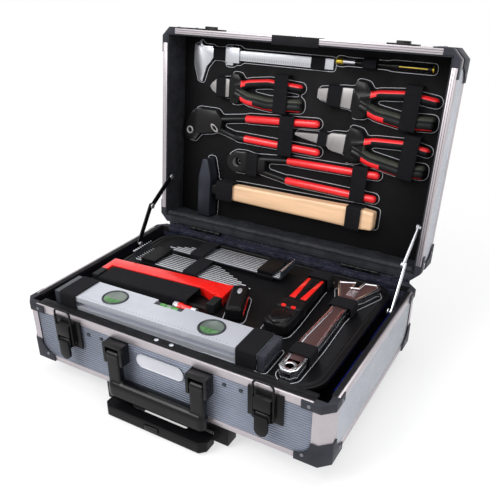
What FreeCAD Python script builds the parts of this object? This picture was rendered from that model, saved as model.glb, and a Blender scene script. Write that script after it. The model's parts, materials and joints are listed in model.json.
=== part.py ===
"""Aluminium-framed trolley tool case with its lid open, its fittings and the tools that it holds.

Frame: X to the right, Y to the back, Z up, millimetres. The origin is on the floor, under the middle of the
open case's box. Pieces are drawn about the middle of the base, and each node's Placement brings them there.
The base and the lid are one kind of shell, drawn with its outer panel down and its rim up.
The lid is that shell turned over about the hinge axis.
"""
import FreeCAD, Part
import Sketcher
import math
import os
import re
from types import SimpleNamespace

# Driving sizes, in millimetres, and angles in degrees.
SIZES = {
    # Case shells
    "case_width": 460, "case_depth": 313, "base_height": 88, "lid_height": 57, "ground_clearance": 34,
    "wall": 8, "corner_chamfer": 12, "post_leg": 22, "rim_band": 10.5, "foot_band": 8, "panel_inset": 1,
    "floor_thickness": 4, "lining": 2, "board_thickness": 3, "base_rim_skin": 3, "pad_drop": 0.5,
    "strip_width": 15, "strip_thickness": 4, "open_angle": 96.9, "rim_gap": 1, "cut_overrun": 5,
    # Corner caps, rivets and studs
    "cap_proud": 1.6, "rim_cap_leg": 36, "rim_cap_height": 12, "foot_cap_leg": 42, "foot_cap_height": 30,
    "foot_cap_curve": 20, "rivet_radius": 2.6, "rivet_rise": 1.2,
    "rivet_drop": 21, "stud_radius": 3, "stud_rise": 0.4, "stud_reach": 11.5,
    # Hinges
    "hinge_offset": 3, "hinge_length": 60, "knuckle_radius": 2.6, "hinge_pin_radius": 1.4,
    "running_clearance": 0.05, "knuckle_gap": 0.3, "leaf_thickness": 1.2, "leaf_height": 16,
    # Folding stays
    "stay_back": 79, "stay_drop": 6.5, "stay_lid_reach": 80, "stay_lid_depth": 4, "stay_link": 66.5,
    "stay_thickness": 2, "stay_width": 9, "stay_gap": 0.5, "stay_pin_radius": 2.6, "stay_head_radius": 4.2,
    "stay_head_rise": 1.2, "stay_wall_gap": 0.8,
    # Latches
    "latch_width": 46, "latch_height": 41, "latch_drop": 6, "latch_plate": 2.5,
    "lock_width": 22, "lock_height": 17.5, "lock_drop": 5, "lock_depth": 9, "ear_thickness": 2,
    "ear_height": 8, "lever_width": 17, "lever_gap": 0.5, "lever_pivot_rise": 12, "lever_pivot_out": 8,
    "lever_tail": 29, "lever_plate": 4, "lever_boss": 3.4, "latch_pin_radius": 1.3, "bail_drop": 8,
    "bail_wire": 1.4, "bail_reach": 13.2, "bail_height": 53, "bail_bend": 6, "bail_hook": 6,
    "catch_width": 40, "catch_height": 24, "catch_plate": 2, "catch_block": 18, "catch_block_rise": 3.5,
    "catch_block_height": 9, "catch_inset": 5,
    # Carry handle and name plate
    "bracket_width": 30, "bracket_height": 29, "bracket_drop": 12, "bracket_base": 3, "bracket_roof": 4,
    "bracket_depth": 15.5, "bracket_ear": 4, "handle_pin_radius": 2.2, "handle_pin_out": 10.5,
    "handle_pin_drop": 15, "handle_lug": 20, "handle_lug_radius": 5.5, "handle_leg_depth": 10,
    "handle_sag": 7, "handle_grip_depth": 19, "handle_grip_height": 29, "handle_round": 9,
    "handle_overhang": 12, "plate_width": 73, "plate_height": 21, "plate_thickness": 1.6, "plate_drop": 31,
    # Trolley
    "rail_reach": 66, "rail_width": 20, "rail_height": 14, "rail_drop": 23, "rail_wall": 1.6,
    "rail_front": 6, "rail_back": 18, "slide_gap": 0.35, "trolley_bracket_width": 62,
    "trolley_bracket_height": 31, "trolley_bracket_length": 20, "trolley_bracket_setback": 3,
    "grip_width": 160, "grip_height": 15.5, "grip_bar": 17, "grip_front": 26.5, "grip_back": 1,
    "grip_opening": 100, "grip_corner": 8, "grip_recess": 7, "button_width": 22, "button_height": 7,
    "button_rise": 1.5, "button_depth": 5, "button_gap": 0.4,
    # Wheels and feet
    "wheel_cap_gap": 1.4, "wheel_radius": 15.5, "wheel_width": 18, "wheel_back": 10, "axle_radius": 3,
    "axle_drop": 17.5, "fork_thickness": 3, "fork_gap": 0.6, "fork_radius": 8, "tread_groove": 1.2,
    "foot_radius": 14, "foot_setback": 46,
    # Tool pallet and lower tray
    "pallet_side_gap": 17, "pallet_drop": 7, "pallet_thickness": 6, "pallet_corner": 38, "pallet_gap": 0.5,
    "ledge_width": 9, "ledge_height": 10, "ledge_inset": 70, "tray_height": 26, "tray_gap": 12,
    "socket_radius": 11, "socket_step": 26, "socket_height": 34, "socket_drive": 6, "socket_recess": 3,
    "socket_sink": 12,
    "driver_handle": 9, "driver_blade": 3, "driver_gap": 2,
    # Straps
    "strap_thickness": 1.6, "strap_gap": 0.6, "rest_gap": 0.2, "tab_width": 58, "tab_drop": 21,
    # Tools: heights, thicknesses, tilts and clearances
    "tool_margin": 7, "caliper_tilt": 0, "caliper_plate": 4, "caliper_slider_rise": 3,
    "pen_tilt": 0, "pen_radius": 4.5, "pen_neck_radius": 3, "jaw_thickness": 10, "cutter_tilt": 0,
    "combination_tilt": -2.5, "nose_tilt": -3.5, "pump_tilt": 0, "pincer_tilt": 0, "hammer_tilt": 0,
    "hammer_depth": 24, "hammer_grip_depth": 20, "level_thickness": 22, "level_tilt": 1.2,
    "vial_radius": 15, "vial_length": 44, "vial_tube": 6, "vial_rim": 2, "level_cap": 10, "level_strap": 28,
    "saw_height": 14, "saw_tilt": 3.5, "blade_width": 6, "blade_thickness": 1, "blade_rise": 3,
    "saw_grip_gap": 12, "saw_grip_height": 22, "saw_grip_round": 6, "saw_grip_tilt": -69,
    "flap_height": 14, "torch_radius": 6, "torch_neck": 5, "key_bend": 14, "key_holder_length": 26,
    "key_holder_height": 14, "key_strap": 24, "knife_height": 18, "knife_strap": 22,
    "wrench_height": 14, "wrench_hole": 5, "wrench_strap": 24,
}
# Places along the case's front and underside, as shares of its width.
PLACE_SHARES = {
    "bracket_reach": 0.13913, "rivet_near": 0.20543, "rivet_far": 0.25435, "hinge_reach": 0.30435,
    "latch_reach": 0.32826, "foot_reach": 0.32609,
}
# The tools' layout from left to right, as shares of the board's clear width.
WIDTH_SHARES = {
    "caliper_left": -0.4671, "caliper_length": 0.5704, "caliper_jaw_length": 0.1455,
    "caliper_slider": 0.0587, "caliper_slider_start": 0.1408, "pen_left": 0.115, "pen_length": 0.3333,
    "grip_bend": 0.0704, "cutter_left": -0.3826, "cutter_length": 0.385, "combination_left": 0.0634,
    "combination_length": 0.4225, "nose_left": -0.0094, "nose_length": 0.4953, "pump_left": -0.5,
    "pump_length": 0.5822, "pincer_left": -0.2911, "pincer_length": 0.6127, "hammer_left": -0.4038,
    "hammer_length": 0.7371, "hammer_face": 0.0563, "level_centre": -0.0704, "level_length": 0.7136,
    "vial_reach": 0.1784, "saw_left": -0.4601, "saw_length": 0.4812, "saw_grip_width": 0.0563,
    "torch_left": -0.0986, "torch_length": 0.0845, "key_left": -0.4178, "key_shift": 0.0563,
    "key_length": 0.4812, "knife_centre": 0.2441, "knife_width": 0.0845, "wrench_centre": 0.3756,
    "wrench_width": 0.1455,
}
# The tools' layout from the middle to the back, as shares of the board's clear depth.
DEPTH_SHARES = {
    "caliper_row": 0.3942, "caliper_beam": 0.0512, "caliper_jaw_width": 0.2116,
    "caliper_slider_width": 0.0785, "pen_row": 0.4386, "plier_grip": 0.0222, "plier_grip_step": 0.0222,
    "shank_radius": 0.0143, "dip_radius": 0.0191, "cutter_row": 0.2509, "cutter_width": 0.1843,
    "combination_row": 0.2782,
    "combination_width": 0.2048, "nose_row": 0.0631, "nose_width": 0.2048, "pump_row": 0.0392,
    "pump_width": 0.198, "pump_gap": 0.0205, "pincer_row": -0.1451, "pincer_width": 0.157,
    "pincer_gap": 0.0256, "hammer_row": -0.3157, "hammer_width": 0.1092, "hammer_head": 0.3345,
    "level_row": -0.3669, "level_width": 0.1638, "saw_row": -0.0171, "saw_depth": 0.1911,
    "saw_grip_row": 0.0307, "saw_grip_length": 0.2253, "flap_width": 0.1365, "torch_row": -0.2184,
    "key_front_row": 0.1365, "key_back_row": 0.3276, "key_step": 0.0177, "key_radius": 0.0075,
    "key_holder_width": 0.157, "key_strap_span": 0.1843, "knife_front": -0.1775, "knife_length": 0.5734,
    "wrench_front": -0.4403, "wrench_length": 0.8464, "driver_length": 0.3276, "driver_shank": 0.0922,
}
TURN = "(180 - open_angle)"
LID_Y = "(case_depth / 2 + hinge_offset)"
LID_Z = "(lid_height - hinge_offset + rim_gap)"
LID_BACK = f"({LID_Y} * (1 + cos({TURN})) + {LID_Z} * sin({TURN}))"
# Sizes and places that follow from the sheet, as formulas in its words.
FOLLOWING = {
    "board_width": "case_width - 2 * (wall + lining + tool_margin)",
    "board_depth": "case_depth - 2 * (wall + lining)",
    "pallet_width": "case_width - 2 * (wall + lining + pallet_side_gap)",
    "pallet_top": "base_height - pallet_drop",
    "ledge_length": "case_width - 2 * ledge_inset",
    "handle_drop": "base_height - bracket_drop - handle_pin_drop - handle_grip_height / 2 + handle_sag",
    "wheel_reach": "case_width / 2 - foot_cap_leg - wheel_cap_gap - fork_thickness - fork_gap"
                   " - wheel_width / 2",
    "driver_reach": "case_width / 2 - wall - lining - driver_gap - driver_handle",
    "middle_back": f"({LID_BACK} + (case_depth / 2 + cap_proud) * cos({TURN}) + cap_proud * sin({TURN})"
                   " - case_depth / 2 - grip_front - button_rise) / 2",
}
FOLLOWING.update({name: f"case_width * {share}" for name, share in PLACE_SHARES.items()})
KNUCKLES = 5
SOCKETS_PER_ROW = 12
KEYS_PER_SET = 9

doc = FreeCAD.newDocument("trolley_tool_case")
sheet = doc.addObject("Spreadsheet::Sheet", "sizes")
for row, (size_name, size_value) in enumerate(SIZES.items(), start=1):
    sheet.set(f"A{row}", size_name)
    sheet.set(f"B{row}", str(size_value))
    sheet.setAlias(f"B{row}", size_name)
doc.recompute()
WORD = re.compile(r"[a-z][a-z_]+")
V = FreeCAD.Vector
X_AXIS = V(1, 0, 0)
Y_AXIS = V(0, 1, 0)
Z_AXIS = V(0, 0, 1)
SIDES = (-1, 1)
nodes = []
pivot_pins = []


# Binding and placing

def bind(item, prop, text):
    """Bind a property to a formula whose words are the sheet's aliases or the sizes that follow from it."""
    owners = {name: "sizes." for name in SIZES} | {name: "following." for name in FOLLOWING}
    item.setExpression(prop, WORD.sub(lambda word: owners.get(word[0], "") + word[0], text))


def following_sizes():
    """An object whose properties hold the sizes that follow from the sheet."""
    item = doc.addObject("App::FeaturePython", "following")
    for name, text in FOLLOWING.items():
        item.addProperty("App::PropertyFloat", name)
        bind(item, name, text)
    doc.recompute()
    return item


def sizes_in_use():
    """Every named size as a number: the sheet's, those that follow from it, and the tools' layout."""
    values = {name: float(sheet.get(name)) for name in SIZES}
    follower = following_sizes()
    values.update({name: getattr(follower, name) for name in FOLLOWING})
    values.update({name: share * values["board_width"] for name, share in WIDTH_SHARES.items()})
    values.update({name: share * values["board_depth"] for name, share in DEPTH_SHARES.items()})
    return SimpleNamespace(**values)


s = sizes_in_use()


def box(length, width, height, x, y, z):
    """A box from its lowest corner, every size a formula."""
    item = doc.addObject("Part::Box", "box")
    props = ("Length", "Width", "Height", "Placement.Base.x", "Placement.Base.y", "Placement.Base.z")
    for prop, text in zip(props, (length, width, height, x, y, z)):
        bind(item, prop, text)
    return item


def rod(radius, length, x, y, z, axis):
    """A cylinder from the centre of its first end, along an axis."""
    item = doc.addObject("Part::Cylinder", "rod")
    item.Placement = FreeCAD.Placement(V(0, 0, 0), FreeCAD.Rotation(Z_AXIS, axis))
    props = ("Radius", "Height", "Placement.Base.x", "Placement.Base.y", "Placement.Base.z")
    for prop, text in zip(props, (radius, length, x, y, z)):
        bind(item, prop, text)
    return item


def cut(solid, *tools):
    """A solid less one or more tools."""
    result = solid
    for tool in tools:
        step = doc.addObject("Part::Cut", "cut")
        step.Base = result
        step.Tool = tool
        result = step
    return result


def fuse(*items):
    result = doc.addObject("Part::MultiFuse", "fuse")
    result.Shapes = list(items)
    return result


def solid(shape):
    """A shape worked out from the sheet's values."""
    item = doc.addObject("Part::Feature", "solid")
    item.Shape = shape
    return item


def node(label, *items):
    """One named sub-part of one or more separate solids, moved to the frame's origin."""
    item = doc.addObject("Part::Compound", label)
    item.Links = list(items)
    item.Label = label
    bind(item, "Placement.Base.y", "-middle_back")
    nodes.append(item)
    return item


def in_base(item):
    """Stand a piece drawn in the shell's own frame on the base's underside."""
    group = doc.addObject("Part::Compound", "base_group")
    group.Links = [item]
    bind(group, "Placement.Base.z", "ground_clearance")
    return group


def in_lid(item):
    """Turn a piece drawn in the shell's own frame about the hinge axis, to the open lid's place."""
    group = doc.addObject("Part::Compound", "lid_group")
    group.Links = [item]
    group.Placement = FreeCAD.Placement(V(0, 0, 0), FreeCAD.Rotation(X_AXIS, s.open_angle))
    bind(group, "Placement.Rotation.Angle", TURN)
    bind(group, "Placement.Base.y", LID_BACK)
    rise = "ground_clearance + base_height + hinge_offset"
    bind(group, "Placement.Base.z", f"{rise} + {LID_Y} * sin({TURN}) - {LID_Z} * cos({TURN})")
    return group


# Shapes worked out from points

def prism(points, start, height):
    """A flat outline in X and Y, raised from one height by another."""
    corners = [V(x, y, start) for x, y in points]
    return Part.Face(Part.makePolygon(corners + corners[:1])).extrude(V(0, 0, height))


def scaled(shares, length, width, x=0, y=0):
    """Outline points from shares of a length and a width, moved to their place."""
    return [(x + along * length, y + across * width) for along, across in shares]


def tube(points, radius, bend):
    """A round bar along straight runs joined by tangent arcs."""
    route = [V(*point) for point in points]
    edges = []
    start = route[0]
    for before, corner, after in zip(route, route[1:], route[2:]):
        back = (before - corner).normalize()
        ahead = (after - corner).normalize()
        half = math.acos(max(-1.0, min(1.0, back.dot(ahead)))) / 2
        reach = bend / math.tan(half)
        first = corner + back * reach
        last = corner + ahead * reach
        middle = (back + ahead).normalize()
        mid = corner + middle * (bend / math.sin(half) - bend)
        edges.append(Part.LineSegment(start, first).toShape())
        edges.append(Part.Arc(first, mid, last).toShape())
        start = last
    edges.append(Part.LineSegment(start, route[-1]).toShape())
    section = Part.Wire(Part.Circle(route[0], route[1] - route[0], radius).toShape())
    return Part.Wire(edges).makePipeShell([section], True, False)


def arch(x, y, length, span, rise, floor):
    """A strap's flat loop over a tool: length along X, span across Y, standing on a floor."""
    t = s.strap_thickness
    outer = Part.makeBox(length, span, rise, V(x - length / 2, y - span / 2, floor))
    inner_size = (length + 2 * s.cut_overrun, span - 2 * t, rise - t)
    corner = V(x - length / 2 - s.cut_overrun, y - span / 2 + t, floor)
    return outer.cut(Part.makeBox(*inner_size, corner))


def turned(shape, angle, x, y, z=0):
    """A shape turned about a vertical axis through its own origin, then moved."""
    moved = shape.copy()
    moved.Placement = FreeCAD.Placement(V(x, y, z), FreeCAD.Rotation(Z_AXIS, angle))
    return moved


def merged(shapes):
    """Touching or crossing shapes as one solid."""
    first, *rest = shapes
    return first.fuse(rest).removeSplitter()


# The shell of base and lid

def corner_points(points):
    """The four corners' outlines from one, given as distances in from the outer corner."""
    for x_side in SIDES:
        for y_side in SIDES:
            outline = [(x_side * (s.case_width / 2 - a), y_side * (s.case_depth / 2 - b)) for a, b in points]
            yield x_side, y_side, outline


def post_outline(chamfer, leg, wall):
    return [(leg, 0), (chamfer, 0), (0, chamfer), (0, leg), (wall, leg), (wall, wall), (leg, wall)]


def corner_posts(height):
    outline = post_outline(s.corner_chamfer, s.post_leg, s.wall)
    top = height - s.cap_proud
    return [solid(prism(points, 0, top)) for x_side, y_side, points in corner_points(outline)]


def skin_outline(leg):
    """A cap's skin, outside the corner post."""
    out = s.cap_proud
    chamfer = s.corner_chamfer
    outer = chamfer - out * math.tan(math.pi / 8)
    outside = [(leg, -out), (outer, -out), (-out, outer), (-out, leg)]
    return outside + [(0, leg), (0, chamfer), (chamfer, 0), (leg, 0)]


def rim_caps(height):
    plate = post_outline(s.corner_chamfer, s.post_leg, s.wall)
    skins = corner_points(skin_outline(s.rim_cap_leg))
    plates = corner_points(plate)
    caps = []
    for (x_side, y_side, skin), (x_again, y_again, cover) in zip(skins, plates):
        shape = prism(skin, height - s.rim_cap_height, s.rim_cap_height)
        caps.append(solid(shape.fuse(prism(cover, height - s.cap_proud, s.cap_proud)).removeSplitter()))
    return caps


def foot_caps():
    """Bottom corner caps, each with a hollow curve in the top edge of both legs."""
    leg, out, radius = s.foot_cap_leg, s.cap_proud, s.foot_cap_curve
    outer = s.corner_chamfer - out * math.tan(math.pi / 8)
    wall = s.wall
    sole = [(leg, -out), (outer, -out), (-out, outer), (-out, leg), (wall, leg), (wall, wall), (leg, wall)]
    caps = []
    for (x_side, y_side, skin), (x_again, y_again, under) in zip(
            corner_points(skin_outline(leg)), corner_points(sole)):
        shape = prism(skin, 0, s.foot_cap_height).fuse(prism(under, -out, out))
        far_x = x_side * (s.case_width / 2 - leg)
        far_y = y_side * (s.case_depth / 2 - leg)
        reach = s.case_width
        front = Part.makeCylinder(radius, reach, V(far_x, 0, s.foot_cap_height), V(0, y_side, 0))
        side = Part.makeCylinder(radius, reach, V(0, far_y, s.foot_cap_height), V(x_side, 0, 0))
        caps.append(solid(shape.cut(front).cut(side).removeSplitter()))
    return caps


def wall_boxes(thickness, inset, low, high, leg):
    """Front, back, left and right boxes of a wall, between the corner legs."""
    across = f"case_width - 2 * {leg}"
    along = f"case_depth - 2 * {leg}"
    rise = f"{high} - ({low})"
    left = f"-case_width / 2 + {leg}"
    front = f"-case_depth / 2 + {leg}"
    return [
        box(across, thickness, rise, left, f"-case_depth / 2 + {inset}", low),
        box(across, thickness, rise, left, f"case_depth / 2 - {inset} - {thickness}", low),
        box(thickness, along, rise, f"-case_width / 2 + {inset}", front, low),
        box(thickness, along, rise, f"case_width / 2 - {inset} - {thickness}", front, low),
    ]


def lining_sheets(floor, top):
    """Four lining sheets inside the walls, front and back between the sides."""
    inner = "(wall + lining)"
    return [
        box("case_width - 2 * wall", "lining", f"{top} - {floor}", "-case_width / 2 + wall",
            "-case_depth / 2 + wall", floor),
        box("case_width - 2 * wall", "lining", f"{top} - {floor}", "-case_width / 2 + wall",
            "case_depth / 2 - wall - lining", floor),
        box("lining", f"case_depth - 2 * {inner}", f"{top} - {floor}", "-case_width / 2 + wall",
            f"-case_depth / 2 + {inner}", floor),
        box("lining", f"case_depth - 2 * {inner}", f"{top} - {floor}", "case_width / 2 - wall - lining",
            f"-case_depth / 2 + {inner}", floor),
    ]


def shell(prefix, height, place, rim_skin):
    """Panels, bands, posts and caps of one half of the case."""
    high = getattr(s, height)
    floor = box("case_width - 2 * wall", "case_depth - 2 * wall", "floor_thickness", "-case_width / 2 + wall",
                "-case_depth / 2 + wall", "panel_inset")
    panels = wall_boxes("(wall - panel_inset)", "panel_inset", "foot_band", f"({height} - rim_band)",
                        "post_leg")
    node(f"{prefix}_panels", *[place(item) for item in [floor] + panels])
    bands = wall_boxes("wall", "0", "0", "foot_band", "post_leg")
    bands += wall_boxes(rim_skin, "0", f"({height} - rim_band)", height, "post_leg")
    node(f"{prefix}_profiles", *[place(item) for item in bands + corner_posts(high)])
    node(f"{prefix}_corner_caps", *[place(item) for item in rim_caps(high) + foot_caps()])


def base_lining():
    floor = "(panel_inset + floor_thickness)"
    top = "(base_height - rim_band)"
    sheets = lining_sheets(f"({floor} + lining)", top)
    sheets.append(box("case_width - 2 * wall", "case_depth - 2 * wall", "lining", "-case_width / 2 + wall",
                      "-case_depth / 2 + wall", floor))
    width = "(wall + lining - base_rim_skin)"
    sheets += wall_boxes(width, "base_rim_skin", top, "(base_height - pad_drop)", "post_leg")
    inside = "(wall + lining)"
    sheets.append(box("case_width - 2 * post_leg", "strip_width + base_rim_skin - wall - lining",
                      "strip_thickness", "-case_width / 2 + post_leg", f"-case_depth / 2 + {inside}",
                      "base_height - pad_drop - strip_thickness"))
    node("base_lining", *[in_base(item) for item in sheets])


def lid_board():
    floor = "(panel_inset + floor_thickness)"
    sheets = lining_sheets(f"({floor} + board_thickness)", "(lid_height - pad_drop)")
    sheets.append(box("case_width - 2 * wall", "case_depth - 2 * wall", "board_thickness",
                      "-case_width / 2 + wall", "-case_depth / 2 + wall", floor))
    node("lid_board", *[in_lid(item) for item in sheets])


def front_rivets():
    """Rivets on the front panel and press studs on the front strip."""
    items = []
    for side in SIDES:
        for reach in ("rivet_near", "rivet_far"):
            items.append(rod("rivet_radius", "rivet_rise", f"{side} * {reach}",
                             "-case_depth / 2 + panel_inset", "base_height - rivet_drop", V(0, -1, 0)))
        items.append(rod("stud_radius", "stud_rise", f"{side} * stud_reach",
                         "-case_depth / 2 + base_rim_skin + strip_width - 2 * stud_radius",
                         "base_height - pad_drop", Z_AXIS))
    node("rivets_and_studs", *[in_base(item) for item in items])


# Hinges and stays

def hinge_leaf(first, sign, clear):
    """One leaf with its knuckles: first knuckle index, side of the axis and the plate's distance from it."""
    pitch = s.hinge_length / KNUCKLES
    plate = Part.makeBox(s.hinge_length, s.leaf_thickness, s.leaf_height, V(0, -s.hinge_offset, 0))
    plate.translate(V(0, 0, clear if sign > 0 else -clear - s.leaf_height))
    shape = plate
    for index in range(first, KNUCKLES, 2):
        start = index * pitch + s.knuckle_gap / 2
        width = pitch - s.knuckle_gap
        barrel = Part.makeCylinder(s.knuckle_radius, width, V(start, 0, 0), X_AXIS)
        low = 0 if sign > 0 else -clear
        tab = Part.makeBox(width, s.leaf_thickness, clear, V(start, -s.hinge_offset, low))
        shape = shape.fuse(barrel).fuse(tab)
    bore = s.hinge_pin_radius + s.running_clearance
    return shape.cut(Part.makeCylinder(bore, s.hinge_length, V(0, 0, 0), X_AXIS)).removeSplitter()


def hinges():
    """Two leaf hinges on the back wall: leaves are drawn with the axis as their origin."""
    axis_y = s.case_depth / 2 + s.hinge_offset
    base_leaves, lid_leaves, pins = [], [], []
    for side in SIDES:
        start = side * s.hinge_reach - s.hinge_length / 2
        leaf = hinge_leaf(0, -1, s.hinge_offset)
        leaf.translate(V(start, axis_y, s.base_height + s.hinge_offset))
        base_leaves.append(in_base(solid(leaf)))
        other = hinge_leaf(1, 1, s.hinge_offset)
        other.rotate(V(0, 0, 0), X_AXIS, 180)
        other.translate(V(start, -axis_y, s.lid_height - s.hinge_offset + s.rim_gap))
        lid_leaves.append(in_lid(solid(other)))
        pin_start = f"{side} * hinge_reach - hinge_length / 2"
        pins.append(in_base(rod("hinge_pin_radius", "hinge_length", pin_start, LID_Y,
                                "base_height + hinge_offset", X_AXIS)))
    node("hinge_base_leaves", *base_leaves)
    node("hinge_lid_leaves", *lid_leaves)
    pivot_pins.extend(pins)


def stay_points():
    """Base pivot, knuckle and lid pivot of the open stay, in Y and Z from the floor."""
    lean = math.radians(s.open_angle)
    hinge = V(0, s.case_depth / 2 + s.hinge_offset, s.ground_clearance + s.base_height + s.hinge_offset)
    up = V(0, -math.cos(lean), math.sin(lean))
    behind = V(0, math.sin(lean), math.cos(lean))
    base_pivot = V(0, s.case_depth / 2 - s.stay_back, s.ground_clearance + s.base_height - s.stay_drop)
    lid_pivot = hinge + up * s.stay_lid_reach + behind * s.stay_lid_depth
    span = lid_pivot - base_pivot
    half = span.Length / 2
    bow = math.sqrt(s.stay_link ** 2 - half ** 2)
    along = span.normalize()
    knuckle = base_pivot + along * half + V(0, -along.z, along.y) * bow
    return base_pivot, knuckle, lid_pivot


def link(first, last, face, thickness):
    """A flat bar with round ends between two pivots, in the plane at x = face."""
    along = (last - first).normalize()
    across = V(0, -along.z, along.y) * (s.stay_width / 2)
    ends = along * (s.stay_width / 2)
    edges = [
        Part.LineSegment(first + across, last + across).toShape(),
        Part.Arc(last + across, last + ends, last - across).toShape(),
        Part.LineSegment(last - across, first - across).toShape(),
        Part.Arc(first - across, first - ends, first + across).toShape(),
    ]
    shape = Part.Face(Part.Wire(edges)).extrude(V(thickness, 0, 0))
    shape.translate(V(face, 0, 0))
    return shape


def pivot(centre, face, length, radius):
    return Part.makeCylinder(radius, length, V(face, centre.y, centre.z), X_AXIS)


def stays():
    """Left and right folding stays: the lower link lies next to the wall, the upper link inside it."""
    base_pivot, knuckle, lid_pivot = stay_points()
    inside = s.case_width / 2 - s.wall - s.lining
    outer = inside - s.stay_wall_gap - s.stay_thickness
    inner = outer - s.stay_gap - s.stay_thickness
    bore = s.stay_pin_radius + s.running_clearance
    rivet = pivot(base_pivot, outer - s.stay_head_rise, inside - outer + s.stay_head_rise, s.stay_pin_radius)
    lower = link(base_pivot, knuckle, outer, s.stay_thickness)
    lower = lower.cut(pivot(base_pivot, outer, s.stay_thickness, bore))
    pin = pivot(knuckle, inner - s.stay_head_rise, outer - inner + s.stay_head_rise, s.stay_pin_radius)
    lower = lower.fuse(pin)
    upper = link(knuckle, lid_pivot, inner, s.stay_thickness)
    upper = upper.cut(pivot(knuckle, inner, s.stay_thickness, bore))
    reach = inside - inner - s.stay_gap / 2 + s.stay_head_rise
    upper = upper.fuse(pivot(lid_pivot, inner - s.stay_head_rise, reach, s.stay_pin_radius))
    for name, side in (("left", -1), ("right", 1)):
        shapes = [shape if side > 0 else shape.mirror(V(0, 0, 0), X_AXIS) for shape in (rivet, lower, upper)]
        pivot_pins.append(solid(shapes[0]))
        node(f"stay_lower_{name}", solid(shapes[1]))
        node(f"stay_upper_{name}", solid(shapes[2]))


# Latches

def latch_frame(side):
    """Centre of a latch: x, the front face and the height of the lever's pivot above the shell's bottom."""
    bottom = s.base_height - s.latch_drop - s.latch_height
    return side * s.latch_reach, -s.case_depth / 2, bottom + s.lever_pivot_rise


def latch_plate(side):
    x, face, pivot_z = latch_frame(side)
    bottom = pivot_z - s.lever_pivot_rise
    top = bottom + s.latch_height
    shape = Part.makeBox(s.latch_width, s.latch_plate, s.latch_height,
                         V(x - s.latch_width / 2, face - s.latch_plate, bottom))
    lock_low = top - s.lock_drop - s.lock_height
    lock = Part.makeBox(s.lock_width, s.lock_depth, s.lock_height,
                        V(x - s.lock_width / 2, face - s.latch_plate - s.lock_depth, lock_low))
    shape = shape.fuse(lock)
    out = s.lever_pivot_out + s.ear_height / 2
    for ear in SIDES:
        near = s.lever_width / 2 + s.lever_gap
        low_x = x + (near if ear > 0 else -near - s.ear_thickness)
        block = Part.makeBox(s.ear_thickness, out, s.ear_height,
                             V(low_x, face - out, pivot_z - s.ear_height / 2))
        shape = shape.fuse(block)
    bore = s.latch_pin_radius + s.running_clearance
    hole_start = V(x - s.latch_width / 2, face - s.lever_pivot_out, pivot_z)
    hole = Part.makeCylinder(bore, s.latch_width, hole_start, X_AXIS)
    return shape.cut(hole).removeSplitter()


def latch_lever(side):
    """A tongue with a rounded end, a boss on the pin and a cheek for the bail's hooks."""
    x, face, pivot_z = latch_frame(side)
    left = x - s.lever_width / 2
    pivot_y = face - s.lever_pivot_out
    bail_z = pivot_z - s.bail_drop
    boss = Part.makeCylinder(s.lever_boss, s.lever_width, V(left, pivot_y, pivot_z), X_AXIS)
    cheek = Part.makeCylinder(s.lever_boss, s.lever_width, V(left, pivot_y, bail_z), X_AXIS)
    web = Part.makeBox(s.lever_width, 2 * s.lever_boss, s.bail_drop, V(left, pivot_y - s.lever_boss, bail_z))
    radius = s.lever_width / 2
    front = pivot_y - s.lever_boss - s.lever_plate / 2
    tail_low = pivot_z - s.lever_tail
    plate = Part.makeBox(s.lever_width, s.lever_plate, pivot_z - tail_low - radius,
                         V(left, front, tail_low + radius))
    tip = Part.makeCylinder(radius, s.lever_plate, V(x, front, tail_low + radius), Y_AXIS)
    shape = boss.fuse(cheek).fuse(web).fuse(plate).fuse(tip)
    pin = s.latch_pin_radius + s.running_clearance
    hook = s.bail_wire + s.running_clearance
    shape = shape.cut(Part.makeCylinder(pin, s.lever_width, V(left, pivot_y, pivot_z), X_AXIS))
    shape = shape.cut(Part.makeCylinder(hook, s.lever_width, V(left, pivot_y, bail_z), X_AXIS))
    return shape.removeSplitter()


def latch_bail(side):
    """A wire loop whose ends hook into the lever's cheek."""
    x, face, pivot_z = latch_frame(side)
    y = face - s.lever_pivot_out
    low = pivot_z - s.bail_drop
    reach, high, shoulder = s.bail_reach, low + s.bail_height, low + s.bail_hook
    inward = reach - s.bail_hook
    loop = [(x - reach, y, shoulder), (x - reach, y, high), (x + reach, y, high), (x + reach, y, shoulder)]
    shapes = [tube(loop, s.bail_wire, s.bail_bend)]
    for end in SIDES:
        hook = [(x + end * inward, y, low), (x + end * reach, y, low), (x + end * reach, y, shoulder)]
        shapes.append(tube(hook, s.bail_wire, 2 * s.bail_wire))
    return merged(shapes)


def latches():
    plates, pins = [], []
    for name, side in (("left", -1), ("right", 1)):
        x, face, pivot_z = latch_frame(side)
        plates.append(in_base(solid(latch_plate(side))))
        width = s.lever_width + 2 * (s.lever_gap + s.ear_thickness)
        start = V(x - width / 2, face - s.lever_pivot_out, pivot_z)
        pin = Part.makeCylinder(s.latch_pin_radius, width, start, X_AXIS)
        pins.append(in_base(solid(pin)))
        node(f"latch_lever_{name}", in_base(solid(latch_lever(side))))
        node(f"latch_bail_{name}", in_base(solid(latch_bail(side))))
    node("latch_plates", *plates)
    pivot_pins.extend(pins)


def lid_catches():
    """A plate and a hooked block on the lid's front wall for each bail."""
    catches = []
    for side in SIDES:
        x = f"{side} * latch_reach"
        low = "(lid_height - catch_inset - catch_height)"
        plate = box("catch_width", "catch_plate", "catch_height", f"{x} - catch_width / 2",
                    "case_depth / 2", low)
        block = box("catch_block", "catch_block_rise", "catch_block_height", f"{x} - catch_block / 2",
                    "case_depth / 2 + catch_plate", f"{low} + (catch_height - catch_block_height) / 2")
        catches.append(in_lid(fuse(plate, block)))
    node("lid_catches", *catches)


# Carry handle and name plate

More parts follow.
